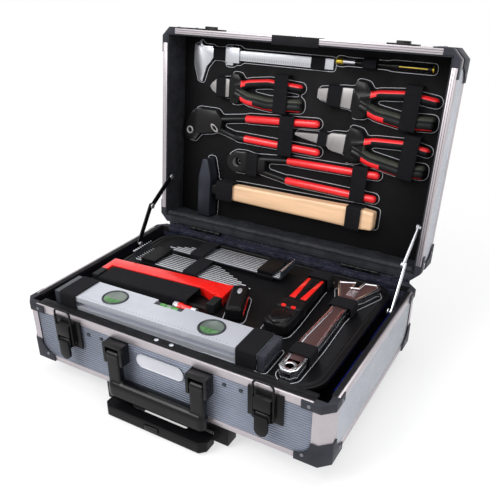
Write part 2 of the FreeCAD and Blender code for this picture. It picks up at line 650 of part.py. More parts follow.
def handle_bracket(side):
    """A hood of a base plate, two ears and a roof, with a bore for the handle's pin."""
    x = f"{side} * bracket_reach"
    low = "(base_height - bracket_drop - bracket_height)"
    plate = box("bracket_width", "bracket_base", "bracket_height", f"{x} - bracket_width / 2",
                "-case_depth / 2 - bracket_base + panel_inset", low)
    ears = []
    for ear in SIDES:
        ear_x = f"{x} + {ear} * (bracket_width - bracket_ear) / 2 - bracket_ear / 2"
        ears.append(box("bracket_ear", "bracket_depth", "bracket_height", ear_x,
                        "-case_depth / 2 - bracket_depth + panel_inset", low))
    roof = box("bracket_width", "bracket_depth", "bracket_roof", f"{x} - bracket_width / 2",
               "-case_depth / 2 - bracket_depth + panel_inset", "base_height - bracket_drop - bracket_roof")
    bore = rod("handle_pin_radius + running_clearance", "bracket_width", f"{x} - bracket_width / 2",
               "-case_depth / 2 - handle_pin_out", "base_height - bracket_drop - handle_pin_drop", X_AXIS)
    return cut(fuse(plate, roof, *ears), bore)


def carry_handle():
    """A rounded grip between two flat legs that hang from the pins."""
    y = -s.case_depth / 2 - s.handle_pin_out
    top = s.base_height - s.bracket_drop - s.handle_pin_drop
    low = top - s.handle_drop
    depth, height = s.handle_grip_depth, s.handle_grip_height
    reach = s.bracket_reach + s.handle_overhang
    grip = Part.makeBox(2 * reach, depth, height, V(-reach, y - depth / 2, low - height / 2))
    shapes = [grip.makeFillet(s.handle_round, grip.Edges)]
    for side in SIDES:
        x = side * s.bracket_reach - s.handle_lug / 2
        shapes.append(Part.makeCylinder(s.handle_lug_radius, s.handle_lug, V(x, y, top), X_AXIS))
        shapes.append(Part.makeBox(s.handle_lug, s.handle_leg_depth, s.handle_drop,
                                   V(x, y - s.handle_leg_depth / 2, low)))
    bore = s.handle_pin_radius + s.running_clearance
    hole = Part.makeCylinder(bore, s.case_width, V(-s.case_width / 2, y, top), X_AXIS)
    return merged(shapes).cut(hole).removeSplitter()


def rounded_sketch(body, width, depth, radius):
    """A rounded rectangle about the origin of the body's XY plane, held by named size constraints."""
    sketch = body.newObject("Sketcher::SketchObject", "outline")
    plane = [item for item in body.Origin.OriginFeatures if item.Role == "XY_Plane"][0]
    sketch.AttachmentSupport = [(plane, "")]
    sketch.MapMode = "FlatFace"
    half_x, half_y = width / 2 - radius, depth / 2 - radius
    corners = [(half_x, -half_y), (half_x, half_y), (-half_x, half_y), (-half_x, -half_y)]
    for index, (x, y) in enumerate(corners):
        first = (index - 1) * math.pi / 2
        circle = Part.Circle(V(x, y, 0), Z_AXIS, radius)
        sketch.addGeometry(Part.ArcOfCircle(circle, first, first + math.pi / 2), False)
    for index in range(len(corners)):
        start = sketch.Geometry[index].EndPoint
        end = sketch.Geometry[(index + 1) % len(corners)].StartPoint
        sketch.addGeometry(Part.LineSegment(start, end), False)
    for index in range(len(corners)):
        line = len(corners) + index
        sketch.addConstraint(Sketcher.Constraint("Tangent", index, 2, line, 1))
        sketch.addConstraint(Sketcher.Constraint("Tangent", line, 2, (index + 1) % len(corners), 1))
    for index in range(1, len(corners)):
        sketch.addConstraint(Sketcher.Constraint("Equal", 0, index))
    sketch.addConstraint(Sketcher.Constraint("Vertical", len(corners)))
    sketch.addConstraint(Sketcher.Constraint("Symmetric", 0, 3, 2, 3, -1, 1))
    sketch.addConstraint(Sketcher.Constraint("Radius", 0, radius))
    sketch.renameConstraint(sketch.ConstraintCount - 1, "corner")
    sketch.addConstraint(Sketcher.Constraint("DistanceX", 2, 3, 1, 3, 2 * half_x))
    sketch.renameConstraint(sketch.ConstraintCount - 1, "across")
    sketch.addConstraint(Sketcher.Constraint("DistanceY", 0, 3, 1, 3, 2 * half_y))
    sketch.renameConstraint(sketch.ConstraintCount - 1, "along")
    return sketch


def rounded_plate(label, width, depth, radius, thickness):
    """A flat body padded from a rounded rectangle; every size is a formula and its present value."""
    body = doc.addObject("PartDesign::Body", label)
    sketch = rounded_sketch(body, width[1], depth[1], radius[1])
    bind(sketch, "Constraints.corner", radius[0])
    bind(sketch, "Constraints.across", f"{width[0]} - 2 * ({radius[0]})")
    bind(sketch, "Constraints.along", f"{depth[0]} - 2 * ({radius[0]})")
    pad = body.newObject("PartDesign::Pad", "pad")
    pad.Profile = sketch
    bind(pad, "Length", thickness)
    return body


def front_fittings():
    """Name plate, carry handle, its brackets and pins."""
    plate = rounded_plate("name_plate_body", ("plate_width", s.plate_width), ("plate_height", s.plate_height),
                          ("plate_height * 0.49", s.plate_height * 0.49), "plate_thickness")
    plate.Placement = FreeCAD.Placement(V(0, 0, 0), FreeCAD.Rotation(X_AXIS, 90))
    bind(plate, "Placement.Base.y", "-case_depth / 2 + panel_inset")
    bind(plate, "Placement.Base.z", "ground_clearance + base_height - plate_drop")
    node("name_plate", plate)
    node("handle_brackets", *[in_base(handle_bracket(side)) for side in SIDES])
    pins = [rod("handle_pin_radius", "bracket_width", f"{side} * bracket_reach - bracket_width / 2",
                "-case_depth / 2 - handle_pin_out", "base_height - bracket_drop - handle_pin_drop", X_AXIS)
            for side in SIDES]
    pivot_pins.extend(in_base(item) for item in pins)
    node("carry_handle", in_base(solid(carry_handle())))


# Trolley, wheels and feet

def hollow_bar(side, width, height, wall, front, length):
    """A rectangular tube along Y, centred on a rail."""
    x = f"{side} * rail_reach"
    outer = box(width, length, height, f"{x} - ({width}) / 2", front, f"-rail_drop - ({height}) / 2")
    inner_width = f"({width} - 2 * {wall})"
    inner_height = f"({height} - 2 * {wall})"
    inner = box(inner_width, f"{length} + 2 * cut_overrun", inner_height, f"{x} - {inner_width} / 2",
                f"{front} - cut_overrun", f"-rail_drop - {inner_height} / 2")
    return cut(outer, inner)


RAIL_START = "(-case_depth / 2 + rail_front)"
RAIL_LENGTH = "(case_depth - rail_front - rail_back)"
STAGE_LESS = "2 * (rail_wall + slide_gap)"


def trolley():
    """Fixed rails in brackets, with a middle and an inner tube in each, and the grip with its button."""
    rails, middles, inners, brackets = [], [], [], []
    mid_width, mid_height = f"(rail_width - {STAGE_LESS})", f"(rail_height - {STAGE_LESS})"
    for side in SIDES:
        rails.append(hollow_bar(side, "rail_width", "rail_height", "rail_wall", RAIL_START, RAIL_LENGTH))
        middles.append(hollow_bar(side, mid_width, mid_height, "rail_wall", RAIL_START, RAIL_LENGTH))
        width, height = f"({mid_width} - {STAGE_LESS})", f"({mid_height} - {STAGE_LESS})"
        start = "(-case_depth / 2 - grip_back)"
        inners.append(box(width, f"{RAIL_LENGTH} + rail_front + grip_back", height,
                          f"{side} * rail_reach - {width} / 2", start, f"-rail_drop - {height} / 2"))
        for front in ("-case_depth / 2 + trolley_bracket_setback",
                      "case_depth / 2 - rail_back - trolley_bracket_length"):
            block = box("trolley_bracket_width", "trolley_bracket_length", "trolley_bracket_height",
                        f"{side} * rail_reach - trolley_bracket_width / 2", front, "-trolley_bracket_height")
            passage = box("rail_width", "trolley_bracket_length + 2 * cut_overrun", "rail_height",
                          f"{side} * rail_reach - rail_width / 2", f"{front} - cut_overrun",
                          "-rail_drop - rail_height / 2")
            brackets.append(cut(block, passage))
    node("trolley_rails", *[in_base(item) for item in rails])
    node("trolley_brackets", *[in_base(item) for item in brackets])
    node("trolley_middle_tubes", *[in_base(item) for item in middles])
    node("trolley_inner_tubes", *[in_base(item) for item in inners])
    node("trolley_grip", in_base(solid(trolley_grip())))
    button = box("button_width", "button_depth", "button_height", "-button_width / 2",
                 "-case_depth / 2 - grip_front - button_rise", "-rail_drop - button_height / 2")
    node("trolley_button", in_base(button))


def trolley_grip():
    """A U in plan: a front bar and two ends that take the inner tubes, with a pocket for the button."""
    front = -s.case_depth / 2 - s.grip_front
    back = -s.case_depth / 2 - s.grip_back
    half, hole = s.grip_width / 2, s.grip_opening / 2
    inner = front + s.grip_bar
    r = s.grip_corner
    points = [(-half, back), (-half, front + r), (-half + r, front), (half - r, front), (half, front + r),
              (half, back), (hole, back), (hole, inner + r), (hole - r, inner), (-hole + r, inner),
              (-hole, inner + r), (-hole, back)]
    shape = prism(points, -s.rail_drop - s.grip_height / 2, s.grip_height)
    gap = s.button_gap
    pocket = Part.makeBox(s.button_width + 2 * gap, s.grip_recess, s.button_height + 2 * gap,
                          V(-s.button_width / 2 - gap, front, -s.rail_drop - s.button_height / 2 - gap))
    return shape.cut(pocket)


def wheels():
    """Two wheels on short axles between fork plates under the back edge."""
    forks, axles = [], []
    for name, side in (("left", -1), ("right", 1)):
        x, y, z = side * s.wheel_reach, s.case_depth / 2 - s.wheel_back, -s.axle_drop
        half = s.wheel_width / 2
        tyre = Part.makeCylinder(s.wheel_radius, s.wheel_width, V(x - half, y, z), X_AXIS)
        for share in (1 / 3, 2 / 3):
            middle = V(x - half + share * s.wheel_width, y, z)
            tyre = tyre.cut(Part.makeTorus(s.wheel_radius, s.tread_groove, middle, X_AXIS))
        bore = s.axle_radius + s.running_clearance
        tyre = tyre.cut(Part.makeCylinder(bore, s.wheel_width, V(x - half, y, z), X_AXIS))
        node(f"wheel_{name}", in_base(solid(tyre)))
        near = half + s.fork_gap
        for cheek in SIDES:
            face = x + (near if cheek > 0 else -near - s.fork_thickness)
            plate = Part.makeBox(s.fork_thickness, 2 * s.fork_radius, s.axle_drop,
                                 V(face, y - s.fork_radius, z))
            plate = plate.fuse(Part.makeCylinder(s.fork_radius, s.fork_thickness, V(face, y, z), X_AXIS))
            plate = plate.cut(Part.makeCylinder(bore, s.fork_thickness, V(face, y, z), X_AXIS))
            forks.append(in_base(solid(plate.removeSplitter())))
        length = s.wheel_width + 2 * (s.fork_gap + s.fork_thickness)
        axle = Part.makeCylinder(s.axle_radius, length, V(x - length / 2, y, z), X_AXIS)
        axles.append(in_base(solid(axle)))
    node("wheel_forks", *forks)
    pivot_pins.extend(axles)
    feet = []
    for x_side in SIDES:
        for y_side in SIDES:
            x = f"{x_side} * foot_reach"
            y = f"{y_side} * (case_depth / 2 - foot_setback)"
            foot = rod("foot_radius", "ground_clearance", x, y, "0", Z_AXIS)
            seat = box("2 * foot_radius", "2 * foot_radius", "panel_inset", f"{x} - foot_radius",
                       f"{y} - foot_radius", "ground_clearance")
            feet.append(fuse(foot, seat))
    node("rubber_feet", *feet)


# Pallet and lower tray

def pallet():
    """The lift-out pallet, from the front strip to the back lining."""
    front = s.base_rim_skin + s.strip_width + s.pallet_gap
    back = s.wall + s.lining + s.pallet_gap
    depth = "(case_depth - base_rim_skin - strip_width - wall - lining - 2 * pallet_gap)"
    body = rounded_plate("pallet_body", ("pallet_width", s.pallet_width),
                         (depth, s.case_depth - front - back), ("pallet_corner", s.pallet_corner),
                         "pallet_thickness")
    bind(body, "Placement.Base.y", "(base_rim_skin + strip_width - wall - lining) / 2")
    bind(body, "Placement.Base.z", "ground_clearance + pallet_top - pallet_thickness")
    node("tool_pallet", body)


def pallet_and_tray():
    """The pallet, its ledges, and the tray under it with sockets and screwdrivers."""
    pallet()
    inside = "(wall + lining)"
    under = "(pallet_top - pallet_thickness - ledge_height)"
    reach = "(strip_width + base_rim_skin - wall - lining + pallet_gap + ledge_width)"
    ledges = [
        box("ledge_length", reach, "ledge_height", "-ledge_length / 2", f"-case_depth / 2 + {inside}", under),
        box("ledge_length", "ledge_width", "ledge_height", "-ledge_length / 2",
            f"case_depth / 2 - {inside} - ledge_width", under),
    ]
    floor = "(panel_inset + floor_thickness + lining)"
    tray = box(f"case_width - 2 * {inside} - 2 * pallet_gap", f"case_depth - 2 * {inside} - 2 * tray_gap",
               "tray_height", f"-case_width / 2 + {inside} + pallet_gap",
               f"-case_depth / 2 + {inside} + tray_gap", floor)
    seat = s.panel_inset + s.floor_thickness + s.lining + s.tray_height
    sockets, pockets = [], []
    row_shares = (-0.32, 0.02)
    for row_share in row_shares:
        for index in range(SOCKETS_PER_ROW):
            x = (index - (SOCKETS_PER_ROW - 1) / 2) * s.socket_step
            low = V(x, row_share * s.case_depth, seat - s.socket_sink)
            top = low + V(0, 0, s.socket_height - s.socket_recess)
            barrel = Part.makeCylinder(s.socket_radius, s.socket_height, low)
            sockets.append(solid(barrel.cut(Part.makeCylinder(s.socket_drive, s.socket_recess, top))))
            pockets.append(Part.makeCylinder(s.socket_radius + s.slide_gap, s.socket_sink, low))
    tray = cut(tray, solid(Part.makeCompound(pockets)))
    node("lower_tray", *[in_base(item) for item in ledges + [tray]])
    node("sockets", *[in_base(item) for item in sockets])
    drivers = []
    driver_shares = (-0.25, 0.16)
    for share in driver_shares:
        for side in SIDES:
            butt = V(side * s.driver_reach, share * s.case_depth, seat + s.driver_handle)
            handle = Part.makeCylinder(s.driver_handle, s.driver_length, butt, Y_AXIS)
            shank = Part.makeCylinder(s.driver_blade, s.driver_shank, butt - V(0, s.driver_shank, 0), Y_AXIS)
            drivers.append(in_base(solid(merged([handle, shank]))))
    node("screwdrivers", *drivers)


# Tools in the lid, each drawn from its left end along X and then placed on the board

def tool_size(prefix, *parts):
    return [getattr(s, f"{prefix}_{part}") for part in parts]


def on_board(shape, prefix):
    """A tool's own frame set on the board: its left end, its row and its tilt."""
    left, row, tilt = tool_size(prefix, "left", "row", "tilt")
    floor = s.panel_inset + s.floor_thickness + s.board_thickness
    return turned(shape, tilt, left, row, floor)


def lid_tool(label, *shapes):
    node(label, *[in_lid(solid(shape)) for shape in shapes])


CALIPER_SHARES = [(0, 0.29), (0, -0.21), (0.11, -0.56), (0.24, -0.6), (0.37, -0.21), (0.47, -0.11), (0.55, 0),
                  (0.55, 0.29), (0.24, 0.29), (0.18, 0.4), (0.12, 0.29)]


def caliper_and_pen():
    """A vernier caliper with its slider, and a telescopic pick-up pen."""
    plate, beam_width = s.caliper_plate, s.caliper_beam
    beam = Part.makeBox(s.caliper_length, beam_width, plate)
    jaw = prism(scaled(CALIPER_SHARES, s.caliper_jaw_length, s.caliper_jaw_width), 0, plate)
    drop = (s.caliper_slider_width - beam_width) / 2
    slider = Part.makeBox(s.caliper_slider, s.caliper_slider_width, s.caliper_slider_rise + plate,
                          V(s.caliper_slider_start, -drop, 0))
    tooth = Part.makeBox(s.caliper_slider / 2, 2 * drop, plate, V(s.caliper_slider_start, -2 * drop, 0))
    lid_tool("caliper", on_board(merged([beam, jaw, slider, tooth]), "caliper"))
    neck_share = 0.56
    tip_share = 0.07
    middle = s.pen_radius + s.rest_gap
    neck = Part.makeCylinder(s.pen_neck_radius, s.pen_length * neck_share, V(0, 0, middle), X_AXIS)
    tip = Part.makeCylinder(s.pen_radius, s.pen_length * tip_share, V(0, 0, middle), X_AXIS)
    start = V(s.pen_length * neck_share, 0, middle)
    barrel = Part.makeCylinder(s.pen_radius, s.pen_length * (1 - neck_share), start, X_AXIS)
    lid_tool("pickup_pen", on_board(merged([neck, tip, barrel]), "pen"))


CUTTER_SHARES = [(0, 0), (0.03, 0.12), (0.1, 0.22), (0.18, 0.26), (0.23, 0.24), (0.24, 0.42), (0.32, 0.4),
                 (0.36, 0.2)]
COMBINATION_SHARES = [(0, 0.11), (0.09, 0.16), (0.2, 0.22), (0.31, 0.24), (0.32, 0.43), (0.41, 0.4),
                      (0.46, 0.2)]
NOSE_SHARES = [(0, 0.03), (0.15, 0.09), (0.26, 0.14), (0.28, 0.2), (0.4, 0.24), (0.41, 0.43), (0.49, 0.4),
               (0.54, 0.2)]
HANDLE_SHARES = [(0, 0.14), (0.14, 0.3), (0.36, 0.38)]
HANDLE_END_SHARE = (0.96, 0.32)


def pliers(label, prefix, jaw_shares, pivot_share):
    """Jaws with thumb guards and two bowed handles, each of two round runs side by side."""
    length, width = tool_size(prefix, "length", "width")
    middle = s.plier_grip + s.rest_gap
    inner_share = 0.9
    outline = jaw_shares + [(along, -across) for along, across in reversed(jaw_shares) if across]
    shapes = [prism(scaled(outline, length, width), middle - s.jaw_thickness / 2, s.jaw_thickness)]
    for side in SIDES:
        route = [(pivot_share + along, side * across) for along, across in HANDLE_SHARES]
        route.append((HANDLE_END_SHARE[0], side * HANDLE_END_SHARE[1]))
        for inward, radius in ((0, s.plier_grip), (s.plier_grip_step, s.plier_grip * inner_share)):
            points = [(x, y - side * inward, middle) for x, y in scaled(route, length, width)]
            shapes.append(tube(points, radius, s.grip_bend))
            shapes.append(Part.makeSphere(radius, V(*points[-1])))
    lid_tool(label, on_board(merged(shapes), prefix))


PUMP_SHARES = [(0, -0.36), (0.02, -0.48), (0.07, -0.5), (0.11, -0.29), (0.21, -0.22), (0.29, -0.1),
               (0.3, 0.19), (0.25, 0.41), (0.1, 0.41), (0.04, 0.19), (0.016, -0.09)]
PUMP_ROUTE_SHARES = [[(0.2, 0.14), (0.48, 0.3), (0.97, 0.42)], [(0.2, -0.02), (0.4, -0.24), (0.99, -0.3)]]
PINCER_SHARES = [(0, 0.1), (0.01, 0.22), (0.05, 0.36), (0.12, 0.38), (0.2, 0.3), (0.27, 0.24), (0.27, -0.16),
                 (0.2, -0.24), (0.12, -0.34), (0.05, -0.34), (0.01, -0.2), (0, -0.06)]
PINCER_ROUTE_SHARES = [[(0.13, 0.2), (0.42, 0.34), (0.98, 0.36)],
                       [(0.13, -0.1), (0.42, -0.34), (0.98, -0.42)]]


def long_pliers(label, prefix, head_shares, route_shares, mouth_share):
    """A cut-out head on two thin shanks with dipped handles."""
    length, width, mouth = tool_size(prefix, "length", "width", "gap")
    middle = s.dip_radius + s.rest_gap
    low = middle - s.jaw_thickness / 2
    head = prism(scaled(head_shares, length, width), low, s.jaw_thickness)
    hole_x, hole_y = scaled([mouth_share], length, width)[0]
    shapes = [head.cut(Part.makeCylinder(mouth, s.jaw_thickness, V(hole_x, hole_y, low)))]
    for route in route_shares:
        points = [(x, y, middle) for x, y in scaled(route, length, width)]
        shapes.append(tube(points, s.shank_radius, s.grip_bend))
        shapes.append(tube(points[1:], s.dip_radius, s.grip_bend))
        shapes.append(Part.makeSphere(s.dip_radius, V(*points[-1])))
    lid_tool(label, on_board(merged(shapes), prefix))


def lid_pliers():
    pliers("diagonal_cutters", "cutter", CUTTER_SHARES, 0.28)
    pliers("combination_pliers", "combination", COMBINATION_SHARES, 0.37)
    pliers("long_nose_pliers", "nose", NOSE_SHARES, 0.45)
    long_pliers("water_pump_pliers", "pump", PUMP_SHARES, PUMP_ROUTE_SHARES, (0.05, -0.22))
    long_pliers("tower_pincers", "pincer", PINCER_SHARES, PINCER_ROUTE_SHARES, (0.07, 0.02))


HEAD_SHARES = [(0, -0.5), (1, -0.5), (1, 0.2), (0.7, 0.5), (0.3, 0.5), (0, 0.18)]
WOOD_SHARES = [(0.02, 0.3), (0.16, 0.42), (0.58, 0.46), (0.92, 0.5), (1, 0.44)]


def hammer():
    """A forged head with a wedge end, and a wooden handle."""
    head = prism(scaled(HEAD_SHARES, s.hammer_face, s.hammer_head), s.rest_gap, s.hammer_depth)
    outline = WOOD_SHARES + [(along, -across) for along, across in reversed(WOOD_SHARES)]
    wood_length = s.hammer_length - s.hammer_face
    low = s.rest_gap + (s.hammer_depth - s.hammer_grip_depth) / 2
    wood = prism(scaled(outline, wood_length, s.hammer_width, s.hammer_face), low, s.hammer_grip_depth)
    stub_share = 0.03
    stub = Part.makeBox(wood_length * stub_share, s.hammer_width / 2, s.hammer_grip_depth,
                        V(s.hammer_face, -s.hammer_width / 4, low))
    lid_tool("hammer_head", on_board(head, "hammer"))
    lid_tool("hammer_handle", on_board(merged([wood, stub]), "hammer"))


def strap_table():
    """Each loop's tool, share along it, share of its length, half span and height of what it holds."""
    grip, dip = 2 * s.plier_grip, 2 * s.dip_radius
    jaw = s.plier_grip + s.jaw_thickness / 2
    low_jaw = s.dip_radius + s.jaw_thickness / 2
    return [
        ("caliper", 0.195, 0.09, 0.5 * s.caliper_beam, s.caliper_plate),
        ("caliper", 0.9, 0.09, 0.5 * s.caliper_beam, s.caliper_plate),
        ("pen", 0.36, 0.14, s.pen_radius, 2 * s.pen_radius),
        ("cutter", 0.13, 0.1, 0.26 * s.cutter_width, jaw),
        ("cutter", 0.79, 0.14, 0.38 * s.cutter_width + s.plier_grip, grip),
        ("combination", 0.15, 0.12, 0.22 * s.combination_width, jaw),
        ("combination", 0.79, 0.13, 0.38 * s.combination_width + s.plier_grip, grip),
        ("nose", 0.22, 0.07, 0.15 * s.nose_width, jaw),
        ("nose", 0.86, 0.11, 0.39 * s.nose_width + s.plier_grip, grip),
        ("pump", 0.78, 0.1, 0.4 * s.pump_width + s.dip_radius, dip),
        ("pincer", 0.18, 0.08, 0.35 * s.pincer_width, low_jaw),
        ("pincer", 0.89, 0.09, 0.42 * s.pincer_width + s.dip_radius, dip),
        ("hammer", 0.17, 0.1, 0.44 * s.hammer_width, s.hammer_depth - 2 * s.rest_gap),
        ("hammer", 0.9, 0.075, 0.5 * s.hammer_width, s.hammer_depth - 2 * s.rest_gap),
    ]


def lid_straps():
    """Elastic loops over the lid's tools."""
    straps = []
    around = s.strap_gap + s.strap_thickness
    for prefix, along_share, length_share, half_span, height in strap_table():
        length = tool_size(prefix, "length")[0]
        centre = s.caliper_beam / 2 if prefix == "caliper" else 0
        loop = arch(along_share * length, centre, length_share * length, 2 * (half_span + around),
                    s.rest_gap + height + around, 0)
        straps.append(on_board(loop, prefix))
    return straps


def closing_tab():
    """A leatherette tab on the inside of the lid's front edge."""
    y = s.case_depth / 2 - s.wall - 2 * s.lining
    low = s.lid_height - s.pad_drop - s.tab_drop
    return Part.makeBox(s.tab_width, s.lining, s.tab_drop, V(-s.tab_width / 2, y, low))


# Tools on the pallet

def on_pallet(shape, tilt, x, y):
    return turned(shape, tilt, x, y, s.pallet_top)


def pallet_tool(label, *shapes):
    node(label, *[in_base(solid(shape)) for shape in shapes])


def spirit_level():
    """A level lying on its side, with two round vials, one long vial and end caps."""
    length, width, thick = s.level_length, s.level_width, s.level_thickness
    body = Part.makeBox(length, width, thick, V(-length / 2, -width / 2, 0))
    groove_share = 1 / 6
    groove = Part.makeBox(length, width * groove_share, thick / 3, V(-length / 2, -width / 2, thick / 3))
    window = Part.makeBox(s.vial_length, 2 * s.vial_tube, 2 * s.vial_tube,
                          V(-s.vial_length / 2, width / 2 - 2 * s.vial_tube, thick - 2 * s.vial_tube))
    body = body.cut(groove).cut(window)
    tube_start = V(-s.vial_length / 2 + s.slide_gap, width / 2 - s.vial_tube, thick - s.vial_tube)
    tube_length = s.vial_length - 2 * s.slide_gap
    vials = [Part.makeCylinder(s.vial_tube - s.slide_gap, tube_length, tube_start, X_AXIS)]
    pieces = []
    for side in SIDES:
        centre = V(side * s.vial_reach, 0, 0)
        body = body.cut(Part.makeCylinder(s.vial_radius, thick, centre))
        low = centre + V(0, 0, s.vial_rim)
        vials.append(Part.makeCylinder(s.vial_radius - s.slide_gap, thick - 2 * s.vial_rim, low))
        start = length / 2 if side > 0 else -length / 2 - s.level_cap
        pieces.append(Part.makeBox(s.level_cap, width, thick, V(start, -width / 2, 0)))
    place = s.level_tilt, s.level_centre, s.level_row
    pallet_tool("spirit_level", *[on_pallet(shape, *place) for shape in [body] + pieces])
    pallet_tool("level_vials", *[on_pallet(shape, *place) for shape in vials])


SAW_SHARES = [(0, 0), (0, -1), (0.05, -1), (0.05, -0.36), (0.82, -0.36), (0.9, -0.5), (0.94, -0.5),
              (0.94, -1), (1, -1), (1, 0.08), (0.85, 0.05)]


def hacksaw():
    """A bowed frame lying flat with its blade, a pistol grip and a small torch beside it."""
    frame = prism(scaled(SAW_SHARES, s.saw_length, s.saw_depth), 0, s.saw_height)
    blade_share = 0.97
    blade = Part.makeBox(s.saw_length * blade_share, s.blade_width, s.blade_thickness,
                         V(s.saw_length * (1 - blade_share), -s.saw_depth * blade_share, s.blade_rise))
    frame = merged([frame, blade])
    pallet_tool("hacksaw_frame", on_pallet(frame, s.saw_tilt, s.saw_left, s.saw_row))
    grip = Part.makeBox(s.saw_grip_length, s.saw_grip_width, s.saw_grip_height,
                        V(0, -s.saw_grip_width / 2, 0))
    grip = grip.makeFillet(s.saw_grip_round, grip.Edges)
    grip_left = s.saw_left + s.saw_length + s.saw_grip_gap
    pallet_tool("hacksaw_grip", on_pallet(grip, s.saw_grip_tilt, grip_left, s.saw_grip_row))
    middle = s.torch_radius + s.rest_gap
    head_share = 0.35
    head = Part.makeCylinder(s.torch_radius, s.torch_length * head_share, V(0, 0, middle), X_AXIS)
    body = Part.makeCylinder(s.torch_neck, s.torch_length, V(0, 0, middle), X_AXIS)
    pallet_tool("small_torch", on_pallet(merged([head, body]), 0, s.torch_left, s.torch_row))


def hex_keys():
    """Two sets of L-shaped keys, each in a moulded holder; the sets point opposite ways."""
    keys, holders = [], []
    middle = s.pallet_top + s.key_holder_height / 2
    shorter_share = 0.05
    thinner_share = 0.07
    for row, sign, bend_x in ((s.key_front_row, 1, s.key_left),
                              (s.key_back_row, -1, s.key_left + s.key_length + s.key_shift)):
        start = bend_x if sign > 0 else bend_x - s.key_holder_length
        holder = Part.makeBox(s.key_holder_length, s.key_holder_width, s.key_holder_height,
                              V(start + sign * s.key_bend, row - s.key_holder_width / 2, s.pallet_top))
        for index in range(KEYS_PER_SET):
            y = row + (index - (KEYS_PER_SET - 1) / 2) * s.key_step
            far = bend_x + sign * s.key_length * (1 - shorter_share * abs(index - 1))
            points = [(bend_x, y, middle + s.key_bend), (bend_x, y, middle), (far, y, middle)]
            radius = s.key_radius * (1 - thinner_share * index)
            keys.append(tube(points, radius, 2 * s.key_radius))
            bore = radius + s.slide_gap / 2
            left = V(-s.case_width / 2, y, middle)
            holder = holder.cut(Part.makeCylinder(bore, s.case_width, left, X_AXIS))
        holders.append(holder)
    pallet_tool("hex_keys", *keys)
    pallet_tool("hex_key_holders", *holders)


KNIFE_SHARES = [(-0.5, 0.04), (-0.36, 0), (0.36, 0), (0.5, 0.04), (0.5, 0.2), (0.44, 0.4), (0.34, 0.78),
                (0.3, 1), (-0.3, 1), (-0.42, 0.7), (-0.44, 0.4), (-0.5, 0.2)]
WRENCH_SHARES = [(-0.2, 0.03), (-0.1, 0), (0.1, 0), (0.2, 0.03), (0.21, 0.3), (0.16, 0.6), (0.21, 0.766),
                 (0.31, 0.827), (0.5, 0.948), (0.39, 1), (0.06, 0.98), (0.02, 0.91), (-0.08, 0.9),
                 (-0.06, 0.97), (-0.5, 0.927), (-0.23, 0.766), (-0.16, 0.6), (-0.21, 0.3)]
WRENCH_HOLE_SHARE = 0.045


def knife_and_wrench():
    knife = prism(scaled(KNIFE_SHARES, s.knife_width, s.knife_length), 0, s.knife_height)
    pallet_tool("utility_knife", on_pallet(knife, 0, s.knife_centre, s.knife_front))
    wrench = prism(scaled(WRENCH_SHARES, s.wrench_width, s.wrench_length), 0, s.wrench_height)
    hole = Part.makeCylinder(s.wrench_hole, s.wrench_height, V(0, WRENCH_HOLE_SHARE * s.wrench_length, 0))
    pallet_tool("adjustable_wrench", on_pallet(wrench.cut(hole), 0, s.wrench_centre, s.wrench_front))


def pallet_straps():
    """The flap over the saw's blade and elastic loops over the pallet's tools."""
    around = s.strap_gap + s.strap_thickness
    bar_share = 0.36
    first_share = 0.07
    last_share = 0.8
    flap_y = -bar_share * s.saw_depth - s.strap_gap - s.flap_width / 2
    flap_length = (last_share - first_share) * s.saw_length
    flap_x = first_share * s.saw_length + flap_length / 2
    flap = arch(flap_x, flap_y, flap_length, s.flap_width, s.flap_height, 0)
    straps = [on_pallet(flap, s.saw_tilt, s.saw_left, s.saw_row)]
    for side in SIDES:
        loop = arch(side * (s.level_length - s.level_strap) / 2, 0, s.level_strap, s.level_width + 2 * around,
                    s.level_thickness + around, 0)
        straps.append(on_pallet(loop, s.level_tilt, s.level_centre, s.level_row))
    for row, along_share in ((s.key_front_row, 0.52), (s.key_back_row, 0.4)):
        loop = arch(0, 0, s.key_strap, s.key_strap_span, s.key_holder_height, 0)
        straps.append(on_pallet(loop, 0, s.key_left + along_share * s.key_length, row))
    loop_shares = (("wrench", 0.7, 0.24), ("wrench", 0.19, 0.21), ("knife", 0.88, 0.4))
    for prefix, along_share, width_share in loop_shares:
        centre, front, length, width, height, band = tool_size(
            prefix, "centre", "front", "length", "width", "height", "strap")
        loop = arch(0, 0, band, 2 * (width_share * width + around), height + around, 0)
        straps.append(on_pallet(loop, 90, centre, front + along_share * length))
    return straps


# The whole case

shell("base", "base_height", in_base, "base_rim_skin")
base_lining()
front_rivets()
shell("lid", "lid_height", in_lid, "wall")
lid_board()
hinges()
stays()
latches()
lid_catches()
front_fittings()
trolley()
wheels()
node("pivot_pins", *pivot_pins)
pallet_and_tray()
caliper_and_pen()
lid_pliers()
hammer()
lid_tool("lid_straps", *lid_straps(), closing_tab())
spirit_level()
hacksaw()
hex_keys()
knife_and_wrench()
pallet_tool("pallet_straps", *pallet_straps())
doc.recompute()

for item in doc.Objects:
    if "Invalid" in item.State or "Error" in item.State:
        raise RuntimeError(f"{item.Label} failed: {item.State}")
os.makedirs("parts", exist_ok=True)
for item in nodes:
    if item.Shape.isNull() or not item.Shape.isValid() or not item.Shape.Solids:
        raise RuntimeError(f"{item.Label} has no valid solid")
    item.Shape.exportStep(f"parts/{item.Label}.step")
print(f"{len(nodes)} nodes, {sum(len(item.Shape.Solids) for item in nodes)} solids")
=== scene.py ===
"""Looks of the aluminium-framed trolley tool case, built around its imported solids.

Lengths are metres. A shell's own frame has its outer panel down and its rim up, as the solids are drawn,
and a tool's own frame lies on its board: X along the tool, Y across it, Z away from the board.
"""
import json
from contextlib import contextmanager
from itertools import product
from math import cos, pi, radians, sin

import bmesh
import bpy
from bpy.props import FloatProperty, FloatVectorProperty, PointerProperty
from mathutils import Matrix, Vector

